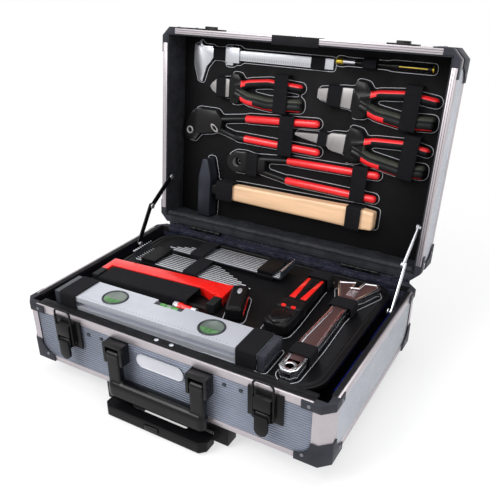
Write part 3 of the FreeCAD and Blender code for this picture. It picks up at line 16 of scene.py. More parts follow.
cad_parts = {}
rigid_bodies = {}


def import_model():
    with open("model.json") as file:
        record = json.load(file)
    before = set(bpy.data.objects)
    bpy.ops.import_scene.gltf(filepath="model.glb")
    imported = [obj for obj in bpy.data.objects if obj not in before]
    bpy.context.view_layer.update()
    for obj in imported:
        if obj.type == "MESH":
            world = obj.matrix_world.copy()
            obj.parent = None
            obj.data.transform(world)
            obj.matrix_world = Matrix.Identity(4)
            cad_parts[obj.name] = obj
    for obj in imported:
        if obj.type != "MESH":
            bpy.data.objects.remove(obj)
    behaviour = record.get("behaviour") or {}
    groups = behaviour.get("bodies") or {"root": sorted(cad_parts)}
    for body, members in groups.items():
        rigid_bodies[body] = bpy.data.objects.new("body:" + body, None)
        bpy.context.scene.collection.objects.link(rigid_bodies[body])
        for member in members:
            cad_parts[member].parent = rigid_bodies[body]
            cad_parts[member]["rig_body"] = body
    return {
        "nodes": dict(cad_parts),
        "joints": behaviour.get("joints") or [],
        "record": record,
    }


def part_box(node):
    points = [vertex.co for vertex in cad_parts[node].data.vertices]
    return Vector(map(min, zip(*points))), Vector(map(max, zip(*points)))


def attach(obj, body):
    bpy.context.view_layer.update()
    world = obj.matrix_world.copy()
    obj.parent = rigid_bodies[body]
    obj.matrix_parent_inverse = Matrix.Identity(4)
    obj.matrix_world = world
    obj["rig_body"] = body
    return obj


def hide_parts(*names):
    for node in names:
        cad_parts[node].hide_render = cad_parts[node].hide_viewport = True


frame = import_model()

bl_info = {
    "name": "Trolley tool case",
    "version": (1, 0, 0),
    "blender": (4, 5, 0),
    "location": "View3D > Sidebar > Tool case",
    "description": "Models the shells, linings, straps, hardware and tools of an open trolley tool case",
    "category": "Object",
}

shift = Matrix.Translation


def spin(angle, axis):
    return Matrix.Rotation(angle, 4, axis)


def scaled(x, y, z):
    return Matrix.Diagonal((x, y, z, 1))


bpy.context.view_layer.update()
JOINTS = {joint["name"]: joint for joint in frame["joints"]}
HINGE = Vector(JOINTS["lid_hinge"]["pos_m"])
OPEN_ANGLE = radians(-JOINTS["lid_hinge"]["range_deg"][0])
CASE_LOW, CASE_HIGH = (Vector(corner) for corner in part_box("base_profiles"))
CASE_WIDTH, CASE_DEPTH, BASE_HEIGHT = CASE_HIGH - CASE_LOW
BASE_MIDDLE_Y = (CASE_LOW.y + CASE_HIGH.y) / 2
PALLET_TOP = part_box("tool_pallet")[1][2]
LID_HEIGHT = 0.057
RIM_BAND = 0.0105
FOOT_BAND = 0.008
POST_LEG = 0.022
WALL = 0.008
LINING = 0.002
PANEL_INSET = 0.001
PANEL_WALL = WALL - PANEL_INSET
OUTER_SHEET = 0.004
BOARD_RISE = 0.008
HINGE_OFFSET = 0.003
RIM_GAP = 0.001
CAP_PROUD = 0.0016
BASE_PLACE = shift((0, BASE_MIDDLE_Y, CASE_LOW.z))
LID_PLACE = (shift(HINGE) @ spin(pi - OPEN_ANGLE, "X")
             @ shift((0, CASE_DEPTH / 2 + HINGE_OFFSET, HINGE_OFFSET - RIM_GAP - LID_HEIGHT)))
SHELLS = {"base": (BASE_PLACE, BASE_HEIGHT), "lid": (LID_PLACE, LID_HEIGHT)}
PALLET_PLACE = shift((0, BASE_MIDDLE_Y, PALLET_TOP))
BOARD_PLACE = LID_PLACE @ shift((0, 0, BOARD_RISE))
HANDS, LINKS = ("left", "right"), ("lower", "upper")
# A face whose normal has this share along an axis counts as facing that way.
FACING = 0.9
# Turns an outline in Y and Z, raised along X, out of one in X and Y, raised along Z.
ALONG_X = Matrix(((0, 0, 1, 0), (1, 0, 0, 0), (0, 1, 0, 0), (0, 0, 0, 1)))


class ToolFrame:
    """A tool's place, length, width and height on its board."""

    def __init__(self, place, left, row, tilt, length, width, height=0.0):
        self.matrix = place @ shift((left, row, 0)) @ spin(radians(tilt), "Z")
        self.inverse = self.matrix.inverted()
        self.length = length
        self.width = width
        self.height = height

    def local(self, face):
        return self.inverse @ face.center, self.inverse.to_3x3() @ face.normal

    def points(self, shares):
        return [(along * self.length, across * self.width) for along, across in shares]

    def planes(self, shares):
        """Planes across the tool at shares of its length."""
        across = self.matrix.to_3x3() @ Vector((1, 0, 0))
        return [(self.matrix @ Vector((share * self.length, 0, 0)), across) for share in shares]


TOOLS = {
    "caliper": ToolFrame(BOARD_PLACE, -0.199, 0.1155, 0, 0.243, 0.015, 0.0042),
    "pickup_pen": ToolFrame(BOARD_PLACE, 0.049, 0.1285, 0, 0.142, 0.009, 0.0092),
    "diagonal_cutters": ToolFrame(BOARD_PLACE, -0.163, 0.0735, 0, 0.164, 0.054),
    "combination_pliers": ToolFrame(BOARD_PLACE, 0.027, 0.0815, -2.5, 0.18, 0.06),
    "long_nose_pliers": ToolFrame(BOARD_PLACE, -0.004, 0.0185, -3.5, 0.211, 0.06),
    "water_pump_pliers": ToolFrame(BOARD_PLACE, -0.213, 0.0115, 0, 0.248, 0.058),
    "tower_pincers": ToolFrame(BOARD_PLACE, -0.124, -0.0425, 0, 0.261, 0.046),
    "hammer_handle": ToolFrame(BOARD_PLACE, -0.172, -0.0925, 0, 0.314, 0.032),
    "spirit_level": ToolFrame(PALLET_PLACE, -0.03, -0.1075, 1.2, 0.304, 0.048, 0.022),
    "hacksaw_frame": ToolFrame(PALLET_PLACE, -0.196, -0.005, 3.5, 0.205, 0.056, 0.014),
    "hacksaw_grip": ToolFrame(PALLET_PLACE, 0.021, 0.009, -69, 0.066, 0.024, 0.022),
    "small_torch": ToolFrame(PALLET_PLACE, -0.042, -0.064, 0, 0.036, 0.012),
    "utility_knife": ToolFrame(PALLET_PLACE, 0.104, -0.052, 90, 0.168, 0.036, 0.018),
    "adjustable_wrench": ToolFrame(PALLET_PLACE, 0.16, -0.129, 90, 0.248, 0.062, 0.014),
}


# Sizes and colours

def shade(red, green, blue):
    """A colour of the finished picture, 0 to 255, as the shader's linear values."""
    parts = [value / 255 for value in (red, green, blue)]
    return [part / 12.92 if part < 0.04045 else ((part + 0.055) / 1.055) ** 2.4 for part in parts]


def length_property(label, default):
    return FloatProperty(name=label, default=default, min=0, precision=5, subtype="DISTANCE", unit="LENGTH")


def colour_property(label, *default):
    return FloatVectorProperty(name=label, default=shade(*default), size=3, min=0, max=1, subtype="COLOR")


class CaseSizes(bpy.types.PropertyGroup):
    """Sizes of the detail that is modelled here."""
    rib_pitch: length_property("From one panel rib to the next", 0.0036)
    rib_groove: length_property("Groove between two ribs", 0.0014)
    rib_depth: length_property("Depth of that groove", 0.0008)
    edge_round: length_property("Rounding of ordinary hard edges", 0.0005)
    strap_shoulder: length_property("Outer bend where a strap turns down", 0.0036)
    strap_thickness: length_property("Thickness of the elastic webbing", 0.0016)
    contour_width: length_property("Width of the printed lines round the tools", 0.0007)
    contour_gap: length_property("Distance of those lines from the tools", 0.0034)
    rivet_radius: length_property("Radius of the corner caps' rivets", 0.0024)
    tab_thickness: length_property("Thickness of the closing tab's fold", 0.0008)


class CaseColours(bpy.types.PropertyGroup):
    """Colours of the finishes."""
    panel: colour_property("Ribbed panels", 132, 138, 152)
    # Painted light: the end panels are the same ribbed sheet as the others, made lighter as if lit.
    lit_end_panel: colour_property("Ribbed panels at the two ends", 198, 201, 208)
    profile: colour_property("Aluminium edge profiles", 184, 177, 181)
    cap: colour_property("Corner caps", 52, 53, 60)
    moulding: colour_property("Black moulded plastic", 13, 13, 15)
    lining: colour_property("Leatherette lining", 16, 16, 19)
    navy: colour_property("Vinyl over the hinges", 32, 33, 50)
    webbing: colour_property("Elastic straps", 17, 17, 20)
    grip_red: colour_property("Red plier grips", 240, 36, 42)
    paint_red: colour_property("Painted saw frame", 228, 26, 20)
    wood: colour_property("Hammer handle", 245, 203, 162)
    forged: colour_property("Dark tool heads", 43, 46, 56)
    steel: colour_property("Bright steel", 205, 206, 212)
    brass: colour_property("Brass tips", 214, 186, 70)
    level: colour_property("Anodised level body", 196, 199, 208)
    liquid: colour_property("Vial liquid", 66, 132, 58)
    handle_blue: colour_property("Screwdriver handles", 50, 70, 220)


def sizes():
    return bpy.context.scene.tool_case_sizes


def colours():
    return bpy.context.scene.tool_case_colours


# Surface effects shared by the finishes

EFFECT_INPUTS = (
    ("Vector", "NodeSocketVector", None),
    ("Colour", "NodeSocketColor", (0.5, 0.5, 0.5, 1)),
    ("Second Colour", "NodeSocketColor", (0.4, 0.4, 0.4, 1)),
    ("Scale", "NodeSocketFloat", 400.0),
    ("Roughness", "NodeSocketFloat", 0.5),
    ("Stretch", "NodeSocketVector", (1, 1, 1)),
)
EFFECT_OUTPUTS = (
    ("Colour", "NodeSocketColor"),
    ("Roughness", "NodeSocketFloat"),
    ("Height", "NodeSocketFloat"),
)


def feed(tree, socket, value):
    """Link an output to a socket, or set a plain value there."""
    if isinstance(value, bpy.types.NodeSocket):
        tree.links.new(value, socket)
    else:
        socket.default_value = value


def add_node(tree, kind, inputs=(), **settings):
    """A new shader node with its settings and what feeds its sockets. Its outputs come back."""
    item = tree.nodes.new(f"ShaderNode{kind}")
    for key, value in settings.items():
        setattr(item, key, value)
    for socket, value in dict(inputs).items():
        feed(tree, item.inputs[socket], value)
    return item.outputs


class EffectTree:
    """A shader node group that puts out a colour, a roughness and a height."""

    def __init__(self, name):
        self.group = bpy.data.node_groups.new(name, "ShaderNodeTree")
        for socket, kind, default in EFFECT_INPUTS:
            item = self.group.interface.new_socket(name=socket, in_out="INPUT", socket_type=kind)
            if default is not None:
                item.default_value = default
        for socket, kind in EFFECT_OUTPUTS:
            self.group.interface.new_socket(name=socket, in_out="OUTPUT", socket_type=kind)
        self.entry = self.group.nodes.new("NodeGroupInput").outputs
        self.exit = self.group.nodes.new("NodeGroupOutput").inputs

    def add(self, kind, inputs, **settings):
        return add_node(self.group, kind, inputs, **settings)

    def noise(self, vector, scale, detail, roughness=0.55):
        inputs = {"Vector": vector, "Scale": scale, "Detail": detail, "Roughness": roughness}
        return self.add("TexNoise", inputs)["Fac"]

    def math(self, operation, first, second, clamp=False):
        return self.add("Math", {0: first, 1: second}, operation=operation, use_clamp=clamp)["Value"]

    def stretched(self):
        inputs = {0: self.entry["Vector"], 1: self.entry["Stretch"]}
        return self.add("VectorMath", inputs, operation="MULTIPLY")["Vector"]

    def ramp(self, value, low, high):
        return self.add("MapRange", {"Value": value, "From Min": low, "From Max": high})["Result"]

    def finish(self, factor, rougher, height):
        """Mix the two colours by a factor, add to the roughness and put out a height."""
        inputs = {"Factor": factor, "A": self.entry["Colour"], "B": self.entry["Second Colour"]}
        outputs = {"Colour": self.add("Mix", inputs, data_type="RGBA")["Result"],
                   "Roughness": self.math("ADD", self.entry["Roughness"], rougher), "Height": height}
        for socket, value in outputs.items():
            feed(self.group, self.exit[socket], value)
        return self.group


def moulded_grain(tree):
    """Fine moulded grain with slow smudges of shade and gloss."""
    vector = tree.stretched()
    fine = tree.noise(vector, tree.entry["Scale"], 2.0)
    broad = tree.ramp(tree.noise(vector, 22.0, 4.0), 0.35, 0.7)
    return tree.finish(broad, tree.math("MULTIPLY", broad, 0.16), fine)


def drawn_metal(tree):
    """Fine drawn lines along the metal, with faint handling marks."""
    lines = tree.noise(tree.stretched(), tree.entry["Scale"], 4.0, 0.7)
    marks = tree.ramp(tree.noise(tree.entry["Vector"], 30.0, 5.0), 0.4, 0.75)
    factor = tree.math("MULTIPLY", tree.math("ADD", lines, marks), 0.5)
    return tree.finish(factor, tree.math("MULTIPLY", factor, 0.22), lines)


def pebbled_hide(tree):
    """Leatherette: small pebbles crossed by creases."""
    vector = tree.stretched()
    cells = tree.add("TexVoronoi", {"Vector": vector, "Scale": tree.entry["Scale"]}, feature="F1")
    pebble = tree.math("SUBTRACT", 1.0, cells["Distance"])
    crease = tree.ramp(tree.noise(vector, 55.0, 5.0, 0.65), 0.42, 0.62)
    height = tree.math("ADD", tree.math("MULTIPLY", pebble, 0.5), crease)
    return tree.finish(crease, tree.math("MULTIPLY", crease, 0.15), height)


def woven_webbing(tree):
    """Elastic webbing: ribs crossed by a finer weave, with loose dust in the weave."""
    inputs = {"Vector": tree.entry["Vector"], "Scale": tree.entry["Scale"], "Distortion": 0.6}
    waves = [tree.add("TexWave", inputs, wave_type="BANDS", bands_direction=axis)["Fac"] for axis in "XYZ"]
    weave = tree.math("MULTIPLY", tree.math("ADD", waves[0], waves[1]), tree.math("ADD", waves[2], 0.5))
    dust = tree.ramp(tree.noise(tree.entry["Vector"], 90.0, 4.0), 0.5, 0.8)
    factor = tree.math("MULTIPLY", tree.math("ADD", tree.math("MULTIPLY", weave, 0.4), dust), 0.6, True)
    return tree.finish(factor, tree.math("MULTIPLY", weave, 0.08), weave)


def wood_grain(tree):
    """Straight grain with darker growth lines and small pores."""
    vector = tree.stretched()
    broad = tree.ramp(tree.noise(vector, tree.entry["Scale"], 5.0, 0.6), 0.38, 0.66)
    pores = tree.noise(vector, 1500.0, 2.0)
    factor = tree.math("ADD", tree.math("MULTIPLY", broad, 0.8), tree.math("MULTIPLY", pores, 0.2))
    return tree.finish(factor, tree.math("MULTIPLY", broad, 0.1), factor)


EFFECTS = {}
FINISHES = {}
LEVEL_STRETCH = (0.04, 0.04, 1)
ACROSS_STRETCH = (0.08, 1, 1)
# Dark finishes reflect less of the white surroundings, or they would look grey.
DARK_LIMIT, DARK_SPECULAR = 0.06, 0.12
COAT_ROUGHNESS = 0.12
METAL_SCALE, METAL_BUMP = 800.0, 0.04


def finish(name, effect, colour, second_share, roughness, scale, bump, stretch=(1, 1, 1), metallic=0.0,
           coat=0.0, specular=0.4, depth=0.0004):
    """A material whose colour, roughness and relief come from one of the shared effects."""
    material = bpy.data.materials.new(name)
    material.use_nodes = True
    tree = material.node_tree
    settings = {"Vector": add_node(tree, "TexCoord")["Object"], "Colour": (*colour, 1),
                "Second Colour": (*(part * second_share for part in colour), 1), "Scale": scale,
                "Roughness": roughness, "Stretch": stretch}
    group = add_node(tree, "Group", settings, node_tree=EFFECTS[effect])
    relief = add_node(tree, "Bump", {"Strength": bump, "Distance": depth, "Height": group["Height"]})
    surface = {"Base Color": group["Colour"], "Roughness": group["Roughness"], "Normal": relief["Normal"],
               "Metallic": metallic, "Coat Weight": coat, "Coat Roughness": COAT_ROUGHNESS,
               "Specular IOR Level": specular}
    for socket, value in surface.items():
        feed(tree, tree.nodes["Principled BSDF"].inputs[socket], value)
    FINISHES[name] = material


def make_finishes():
    for build in (moulded_grain, drawn_metal, pebbled_hide, woven_webbing, wood_grain):
        EFFECTS[build.__name__] = build(EffectTree(build.__name__))
    c = colours()
    black = shade(14, 14, 16)
    moulded = (
        ("cap_plastic", c.cap, 0.6, 0.42, 1400.0, 0.22, 0.0),
        ("black_plastic", c.moulding, 0.55, 0.34, 1500.0, 0.15, 0.0),
        ("black_gloss", c.moulding, 0.6, 0.2, 900.0, 0.05, 0.14),
        ("black_enamel", c.moulding, 0.55, 0.28, 700.0, 0.06, 0.08),
        ("rubber", c.moulding, 0.7, 0.6, 1200.0, 0.25, 0.0),
        ("tool_board", black, 0.6, 0.6, 1800.0, 0.2, 0.0),
        ("dark_lacquer", shade(21, 21, 22), 0.6, 0.3, 500.0, 0.1, 0.1),
        ("grip_red", c.grip_red, 0.75, 0.34, 1300.0, 0.12, 0.0),
        ("dipped_red", c.grip_red, 0.72, 0.24, 700.0, 0.06, 0.25),
        ("grip_black", shade(26, 27, 28), 0.55, 0.38, 1300.0, 0.2, 0.0),
        ("grip_moss", shade(58, 60, 52), 0.6, 0.42, 1300.0, 0.2, 0.0),
        ("guard_gloss", shade(16, 16, 16), 0.6, 0.14, 900.0, 0.05, 0.06),
        ("saw_red", c.paint_red, 0.8, 0.22, 600.0, 0.04, 0.4),
        ("level_cap", shade(58, 60, 68), 0.5, 0.12, 600.0, 0.05, 0.6),
        ("vial_ring", shade(44, 48, 54), 0.6, 0.2, 900.0, 0.05, 0.4),
        ("vial_liquid", c.liquid, 0.5, 0.08, 200.0, 0.02, 0.6),
        ("vial_window", shade(104, 116, 108), 0.5, 0.1, 200.0, 0.02, 0.6),
        ("handle_blue", c.handle_blue, 0.6, 0.25, 900.0, 0.08, 0.2),
        ("contour_print", shade(196, 198, 204), 0.8, 0.5, 900.0, 0.05, 0.0),
    )
    for name, colour, second, roughness, scale, bump, coat in moulded:
        finish(name, "moulded_grain", colour, second, roughness, scale, bump, coat=coat,
               specular=DARK_SPECULAR if max(colour) < DARK_LIMIT else 0.4)
    metals = (
        ("panel_sheet", c.panel, 0.72, 0.36, LEVEL_STRETCH, 0.6),
        # Painted shade: a darker copy of the panel finish for the faces inside the rib grooves.
        ("panel_groove_shade", shade(92, 98, 112), 0.72, 0.4, LEVEL_STRETCH, 0.5),
        # Painted light: a lighter copy of the panel finish for the case's two ends.
        ("lit_end_sheet", c.lit_end_panel, 0.78, 0.36, LEVEL_STRETCH, 0.6),
        ("profile_metal", c.profile, 0.84, 0.3, LEVEL_STRETCH, 0.8),
        ("steel", c.steel, 0.75, 0.24, ACROSS_STRETCH, 0.85),
        # Painted shade for the lines in the profiles' rim grooves.
        ("profile_groove_shade", shade(104, 100, 104), 0.8, 0.34, LEVEL_STRETCH, 0.7),
        ("wrench_brown", shade(104, 78, 78), 0.5, 0.24, ACROSS_STRETCH, 0.6),
        ("dull_steel", shade(120, 122, 130), 0.7, 0.36, ACROSS_STRETCH, 0.7),
        ("chrome", shade(226, 227, 232), 0.86, 0.1, ACROSS_STRETCH, 1.0),
        ("plate_metal", shade(204, 205, 212), 0.82, 0.26, ACROSS_STRETCH, 0.7),
        ("jaw_steel", shade(158, 155, 154), 0.55, 0.34, (1, 0.2, 1), 0.45),
        ("brass", c.brass, 0.7, 0.22, ACROSS_STRETCH, 0.9),
        ("level_metal", c.level, 0.8, 0.3, (0.03, 1, 1), 0.5),
    )
    for name, colour, second, roughness, stretch, metallic in metals:
        finish(name, "drawn_metal", colour, second, roughness, METAL_SCALE, METAL_BUMP, stretch, metallic)
    finish("forged_steel", "moulded_grain", c.forged, 0.5, 0.34, 500.0, 0.2, metallic=0.4)
    finish("leatherette", "pebbled_hide", c.lining, 0.6, 0.5, 900.0, 0.3, specular=DARK_SPECULAR)
    finish("grey_hide", "pebbled_hide", shade(42, 43, 47), 0.6, 0.5, 900.0, 0.3, specular=DARK_SPECULAR)
    finish("navy_vinyl", "pebbled_hide", c.navy, 0.5, 0.3, 700.0, 0.6, specular=0.25, depth=0.003)
    finish("webbing", "woven_webbing", c.webbing, 1.7, 0.72, 260.0, 0.5, specular=0.1)
    finish("wood", "wood_grain", c.wood, 0.66, 0.34, 60.0, 0.12, (0.07, 1, 1), coat=0.15)


# Mesh helpers

def only(obj):
    """Make an object the only selected one, and active, in object mode."""
    if bpy.context.object and bpy.context.object.mode != "OBJECT":
        bpy.ops.object.mode_set(mode="OBJECT")
    bpy.ops.object.select_all(action="DESELECT")
    obj.select_set(True)
    bpy.context.view_layer.objects.active = obj


@contextmanager
def editing(obj, selection="SELECT"):
    """Edit mode on one object, with all or none of its mesh selected."""
    only(obj)
    bpy.ops.object.mode_set(mode="EDIT")
    bpy.ops.mesh.select_all(action=selection)
    yield
    bpy.ops.object.mode_set(mode="OBJECT")


STEPS_PER_METRE, MERGE_REACH = 1e6, 2e-6


def close_solids(mesh):
    """Close each solid of a mesh of loose triangles by itself, in the order of its faces."""
    shape = bmesh.new()
    shape.from_mesh(mesh)
    bmesh.ops.split_edges(shape, edges=shape.edges[:])
    shape.faces.index_update()
    places = {vertex: tuple(round(part * STEPS_PER_METRE) for part in vertex.co)
              for vertex in shape.verts}
    sharing = {}
    for face in shape.faces:
        for edge in face.edges:
            key = tuple(sorted(places[vertex] for vertex in edge.verts))
            sharing.setdefault(key, []).append(face.index)
    leader = list(range(len(shape.faces)))

    def head(index):
        while leader[index] != index:
            leader[index] = leader[leader[index]]
            index = leader[index]
        return index

    for users in sharing.values():
        if len(users) == 2:
            leader[head(users[0])] = head(users[1])
    groups = {}
    for face in shape.faces:
        groups.setdefault(head(face.index), []).extend(face.verts)
    for loose in groups.values():
        bmesh.ops.remove_doubles(shape, verts=loose, dist=MERGE_REACH)
    shape.to_mesh(mesh)
    shape.free()


FLAT_ANGLE, ROUND_ANGLE, SMOOTH_ANGLE = radians(0.4), radians(32), 38


def cad_copy(node, name):
    """A copy of a CAD node's mesh with each of its solids closed and its flat faces joined."""
    mesh = frame["nodes"][node].data.copy()
    mesh.materials.clear()
    obj = bpy.data.objects.new(name, mesh)
    bpy.context.scene.collection.objects.link(obj)
    close_solids(mesh)
    with editing(obj):
        bpy.ops.mesh.customdata_custom_splitnormals_clear()
        bpy.ops.mesh.dissolve_limited(angle_limit=FLAT_ANGLE)
    return obj


def primitive(kind, name, place, **values):
    """A new primitive whose mesh is set in its place."""
    bpy.ops.object.select_all(action="DESELECT")
    getattr(bpy.ops.mesh, f"primitive_{kind}_add")(**values)
    obj = bpy.context.object
    obj.name = name
    obj.data.transform(place)
    return obj


def apply_modifier(obj, kind, **values):
    only(obj)
    item = obj.modifiers.new(kind.title(), kind)
    for key, value in values.items():
        setattr(item, key, value)
    bpy.ops.object.modifier_apply(modifier=item.name)


def rounded(obj, width, segments=2, clamp=True):
    if width:
        apply_modifier(obj, "BEVEL", width=width, segments=segments, limit_method="ANGLE",
                       angle_limit=ROUND_ANGLE, use_clamp_overlap=clamp, miter_outer="MITER_ARC")


def softened(obj, voxel, repeat):
    """Wear all hard edges of a piece into soft ones."""
    apply_modifier(obj, "REMESH", mode="VOXEL", voxel_size=voxel)
    apply_modifier(obj, "SMOOTH", factor=0.5, iterations=repeat)


def smoothed(obj, angle=SMOOTH_ANGLE):
    only(obj)
    bpy.ops.object.shade_smooth_by_angle(angle=radians(angle))


def cut_faces(obj, planes):
    """Cut a piece's faces along planes, where its finish changes."""
    with editing(obj):
        for point, normal in planes:
            bpy.ops.mesh.select_all(action="SELECT")
            bpy.ops.mesh.bisect(plane_co=point, plane_no=normal)


def inset_faces(obj, wanted, steps, even=True):
    """Inset the faces that a test picks, in steps of a width and a depth."""
    with editing(obj, "DESELECT"):
        bpy.ops.mesh.select_mode(type="FACE")
        for face in bmesh.from_edit_mesh(obj.data).faces:
            face.select_set(wanted(face.calc_center_median(), face.normal))
        bmesh.update_edit_mesh(obj.data)
        for width, depth in steps:
            bpy.ops.mesh.inset(thickness=width, depth=depth, use_even_offset=even)


def paint(obj, names, choose=None):
    """Give a piece its finish, or several; choose(face) says which of them each face takes."""
    names = [names] if isinstance(names, str) else names
    for name in names:
        obj.data.materials.append(FINISHES[name])
    if choose:
        for face in obj.data.polygons:
            face.material_index = names.index(choose(face))
    return obj


def finished(obj, names, width=0.0, segments=2, choose=None):
    """Round a piece's edges, smooth its shading and give it its finishes."""
    rounded(obj, width, segments)
    smoothed(obj)
    return paint(obj, names, choose)


def joined(name, pieces):
    """Several pieces as one object."""
    only(pieces[0])
    for piece in pieces:
        piece.select_set(True)
    if len(pieces) > 1:
        bpy.ops.object.join()
    bpy.context.object.name = name
    return bpy.context.object


def settle(obj, body, slot, *nodes):
    """Put a finished piece on its body, in place of CAD nodes where it stands for them."""
    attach(obj, body)
    if nodes:
        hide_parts(*nodes)


def settle_for(obj, node):
    """Put a finished piece in the place of one CAD node."""
    slot = next(row["material_slot"] for row in frame["record"]["subparts"] if row["node"] == node)
    settle(obj, frame["nodes"][node]["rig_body"], slot, node)


def dress(node, names, width=None, segments=2, choose=None, planes=(), soft=None, flat=False, shape=None):
    """A copy of a CAD node, reshaped and with rounded or softened edges, which takes the node's place."""
    obj = cad_copy(node, f"{node}_finish")
    if shape:
        shape(obj)
    if soft:
        softened(obj, *soft)
    if planes:
        cut_faces(obj, planes)
    if width is None:
        width = 0 if soft else sizes().edge_round
    finished(obj, names, width, segments, choose)
    if flat:
        apply_modifier(obj, "WEIGHTED_NORMAL", keep_sharp=True)
    settle_for(obj, node)


def dress_all(rows):
    for row in rows:
        dress(*row)


def prism_piece(name, outline, start, height, place, width=0.0, finish_name=None, segments=2):
    """A flat outline of points in X and Y, raised from one height by another and set in its place."""
    obj = primitive("circle", name, Matrix(), vertices=len(outline), radius=1, fill_type="NGON")
    for vertex, (x, y) in zip(obj.data.vertices, outline):
        vertex.co = (x, y, start)
    with editing(obj):
        bpy.ops.mesh.extrude_region_move(TRANSFORM_OT_translate={"value": (0, 0, height)})
        bpy.ops.mesh.select_all(action="SELECT")
        bpy.ops.mesh.normals_make_consistent(inside=False)
    rounded(obj, width, segments, False)
    obj.data.transform(place)
    smoothed(obj)
    if finish_name:
        paint(obj, finish_name)
    return obj


def tool_prism(name, tool, shares, start, height, width, finish_name, segments=2):
    """A prism over a tool, its outline in shares of the tool's length and width."""
    return prism_piece(name, tool.points(shares), start, height, tool.matrix, width, finish_name, segments)


def lengthwise(name, outline, length, place, width, finish_name):
    """A prism along the case's width, with its outline in a shell's Y and Z."""
    stand = place @ shift((-length / 2, 0, 0)) @ ALONG_X
    return prism_piece(name, outline, 0, length, stand, width, finish_name)


def oval(centre, reach, across, half, count=20):
    """An oval outline, given by its centre and half widths along and across."""
    turns = [2 * pi * index / count for index in range(count)]
    return [(centre + reach * cos(turn), across + half * sin(turn)) for turn in turns]


def rectangle(left, right, low, high):
    return [(left, low), (right, low), (right, high), (left, high)]


# Shells

def rib_outline(length):
    """A ribbed sheet's section: its grooved outer side from end to end, then its flat back."""
    s = sizes()
    count = int(length / s.rib_pitch)
    margin = (length - count * s.rib_pitch) / 2
    half = s.rib_groove / 2
    points = [(0, 0)]
    for index in range(count):
        middle = margin + (index + 0.5) * s.rib_pitch
        points += [(middle - half, 0), (middle - half / 2, s.rib_depth), (middle + half / 2, s.rib_depth),
                   (middle + half, 0)]
    return points + [(length, 0), (length, PANEL_WALL), (0, PANEL_WALL)]


def axes(along, up, inward, corner):
    """A matrix with the given axes and origin."""
    return Matrix([*zip(along, up, inward, corner), (0, 0, 0, 1)])


def ribbed_sheets(prefix):
    """The frames, heights and lengths of a shell's four walls and its outer panel."""
    x, y = CASE_WIDTH / 2, CASE_DEPTH / 2
    rise = SHELLS[prefix][1] - RIM_BAND - FOOT_BAND
    wide, deep = CASE_WIDTH - 2 * POST_LEG, CASE_DEPTH - 2 * POST_LEG
    up = (0, 0, 1)
    yield "front", axes((1, 0, 0), up, (0, 1, 0), (-wide / 2, -y + PANEL_INSET, FOOT_BAND)), rise, wide
    yield "back", axes((-1, 0, 0), up, (0, -1, 0), (wide / 2, y - PANEL_INSET, FOOT_BAND)), rise, wide
    yield "left", axes((0, -1, 0), up, (1, 0, 0), (-x + PANEL_INSET, deep / 2, FOOT_BAND)), rise, deep
    yield "right", axes((0, 1, 0), up, (-1, 0, 0), (x - PANEL_INSET, -deep / 2, FOOT_BAND)), rise, deep
    outer = axes((1, 0, 0), (0, 1, 0), up, (WALL - x, WALL - y, PANEL_INSET))
    yield "outer", outer @ Matrix.Scale(OUTER_SHEET / PANEL_WALL, 4, up), 2 * (y - WALL), 2 * (x - WALL)


def panels(prefix):
    """Ribbed sheets with painted shade in their grooves, and lighter at the case's two ends as painted
    light.
    """
    place = SHELLS[prefix][0]
    s = sizes()
    pieces = []
    for name, matrix, rise, length in ribbed_sheets(prefix):
        stand = place @ matrix @ ALONG_X
        inverse = stand.inverted()
        # The two end walls take the lighter sheet as painted light.
        plain = "lit_end_sheet" if name in ("left", "right") else "panel_sheet"
        sheet = prism_piece("sheet", rib_outline(rise), 0, length, stand, s.rib_groove / 6, segments=1)
        # The faces inside each rib groove take the darker finish as painted shade.
        pieces.append(paint(sheet, [plain, "panel_groove_shade"], lambda face:
                            "panel_groove_shade" if 0.25 < (inverse @ face.center).y / s.rib_depth < 2 else plain))
    obj = joined(f"{prefix}_ribbed_panels", pieces)
    smoothed(obj)
    settle_for(obj, f"{prefix}_panels")


# Distances from the outer edge between which the rim's top face takes painted shade lines for the profile's
# grooves.
RIM_SHADE_LINES = ((0.0021, 0.0029), (0.0052, 0.006))


def profiles(prefix):
    """Aluminium profiles with painted shade lines on the rim where its grooves are, covered beside the
    hinges, and with painted shade inside the corners.
    """
    place, height = SHELLS[prefix]
    inverse = place.inverted()
    side, cover = (-1, "grey_hide") if prefix == "lid" else (1, "navy_vinyl")
    edge = CASE_DEPTH / 2 - WALL - RIM_GAP
    post_x, post_y = CASE_WIDTH / 2 - POST_LEG, CASE_DEPTH / 2 - POST_LEG

    def choose(face):
        point = inverse @ face.center
        normal = inverse.to_3x3() @ face.normal
        if side * point.y > edge and side * normal.y < 0.5 and point.z > height - RIM_BAND:
            return cover
        reach = min(CASE_WIDTH / 2 - abs(point.x), CASE_DEPTH / 2 - abs(point.y))
        if normal.z > FACING and any(low < reach < high for low, high in RIM_SHADE_LINES):
            return "profile_groove_shade"
        # Inward and upward faces of the corner posts take the dark lining finish as painted shade.
        inward = normal.z > 0.5 or normal.x * point.x + normal.y * point.y < 0
        in_corner = abs(point.x) > post_x and abs(point.y) > post_y
        return "leatherette" if inward and in_corner else "profile_metal"

    turn = place.to_3x3()
    lines = [reach for line in RIM_SHADE_LINES for reach in line]
    cuts_x = (post_x, *(CASE_WIDTH / 2 - reach for reach in lines))
    cuts_y = (edge, post_y, *(CASE_DEPTH / 2 - reach for reach in lines))
    planes = [(place @ Vector((sign * x, 0, 0)), turn @ Vector((1, 0, 0)))
              for sign, x in product((-1, 1), cuts_x)]
    planes += [(place @ Vector((0, sign * y, 0)), turn @ Vector((0, 1, 0)))
               for sign, y in product((-1, 1), cuts_y)]
    names = ["profile_metal", "profile_groove_shade", "leatherette", cover]
    dress(f"{prefix}_profiles", names, 0.0008, 2, choose, planes)


CAP_RIVETS = ((0.026, -0.0062), (0.031, 0.009))


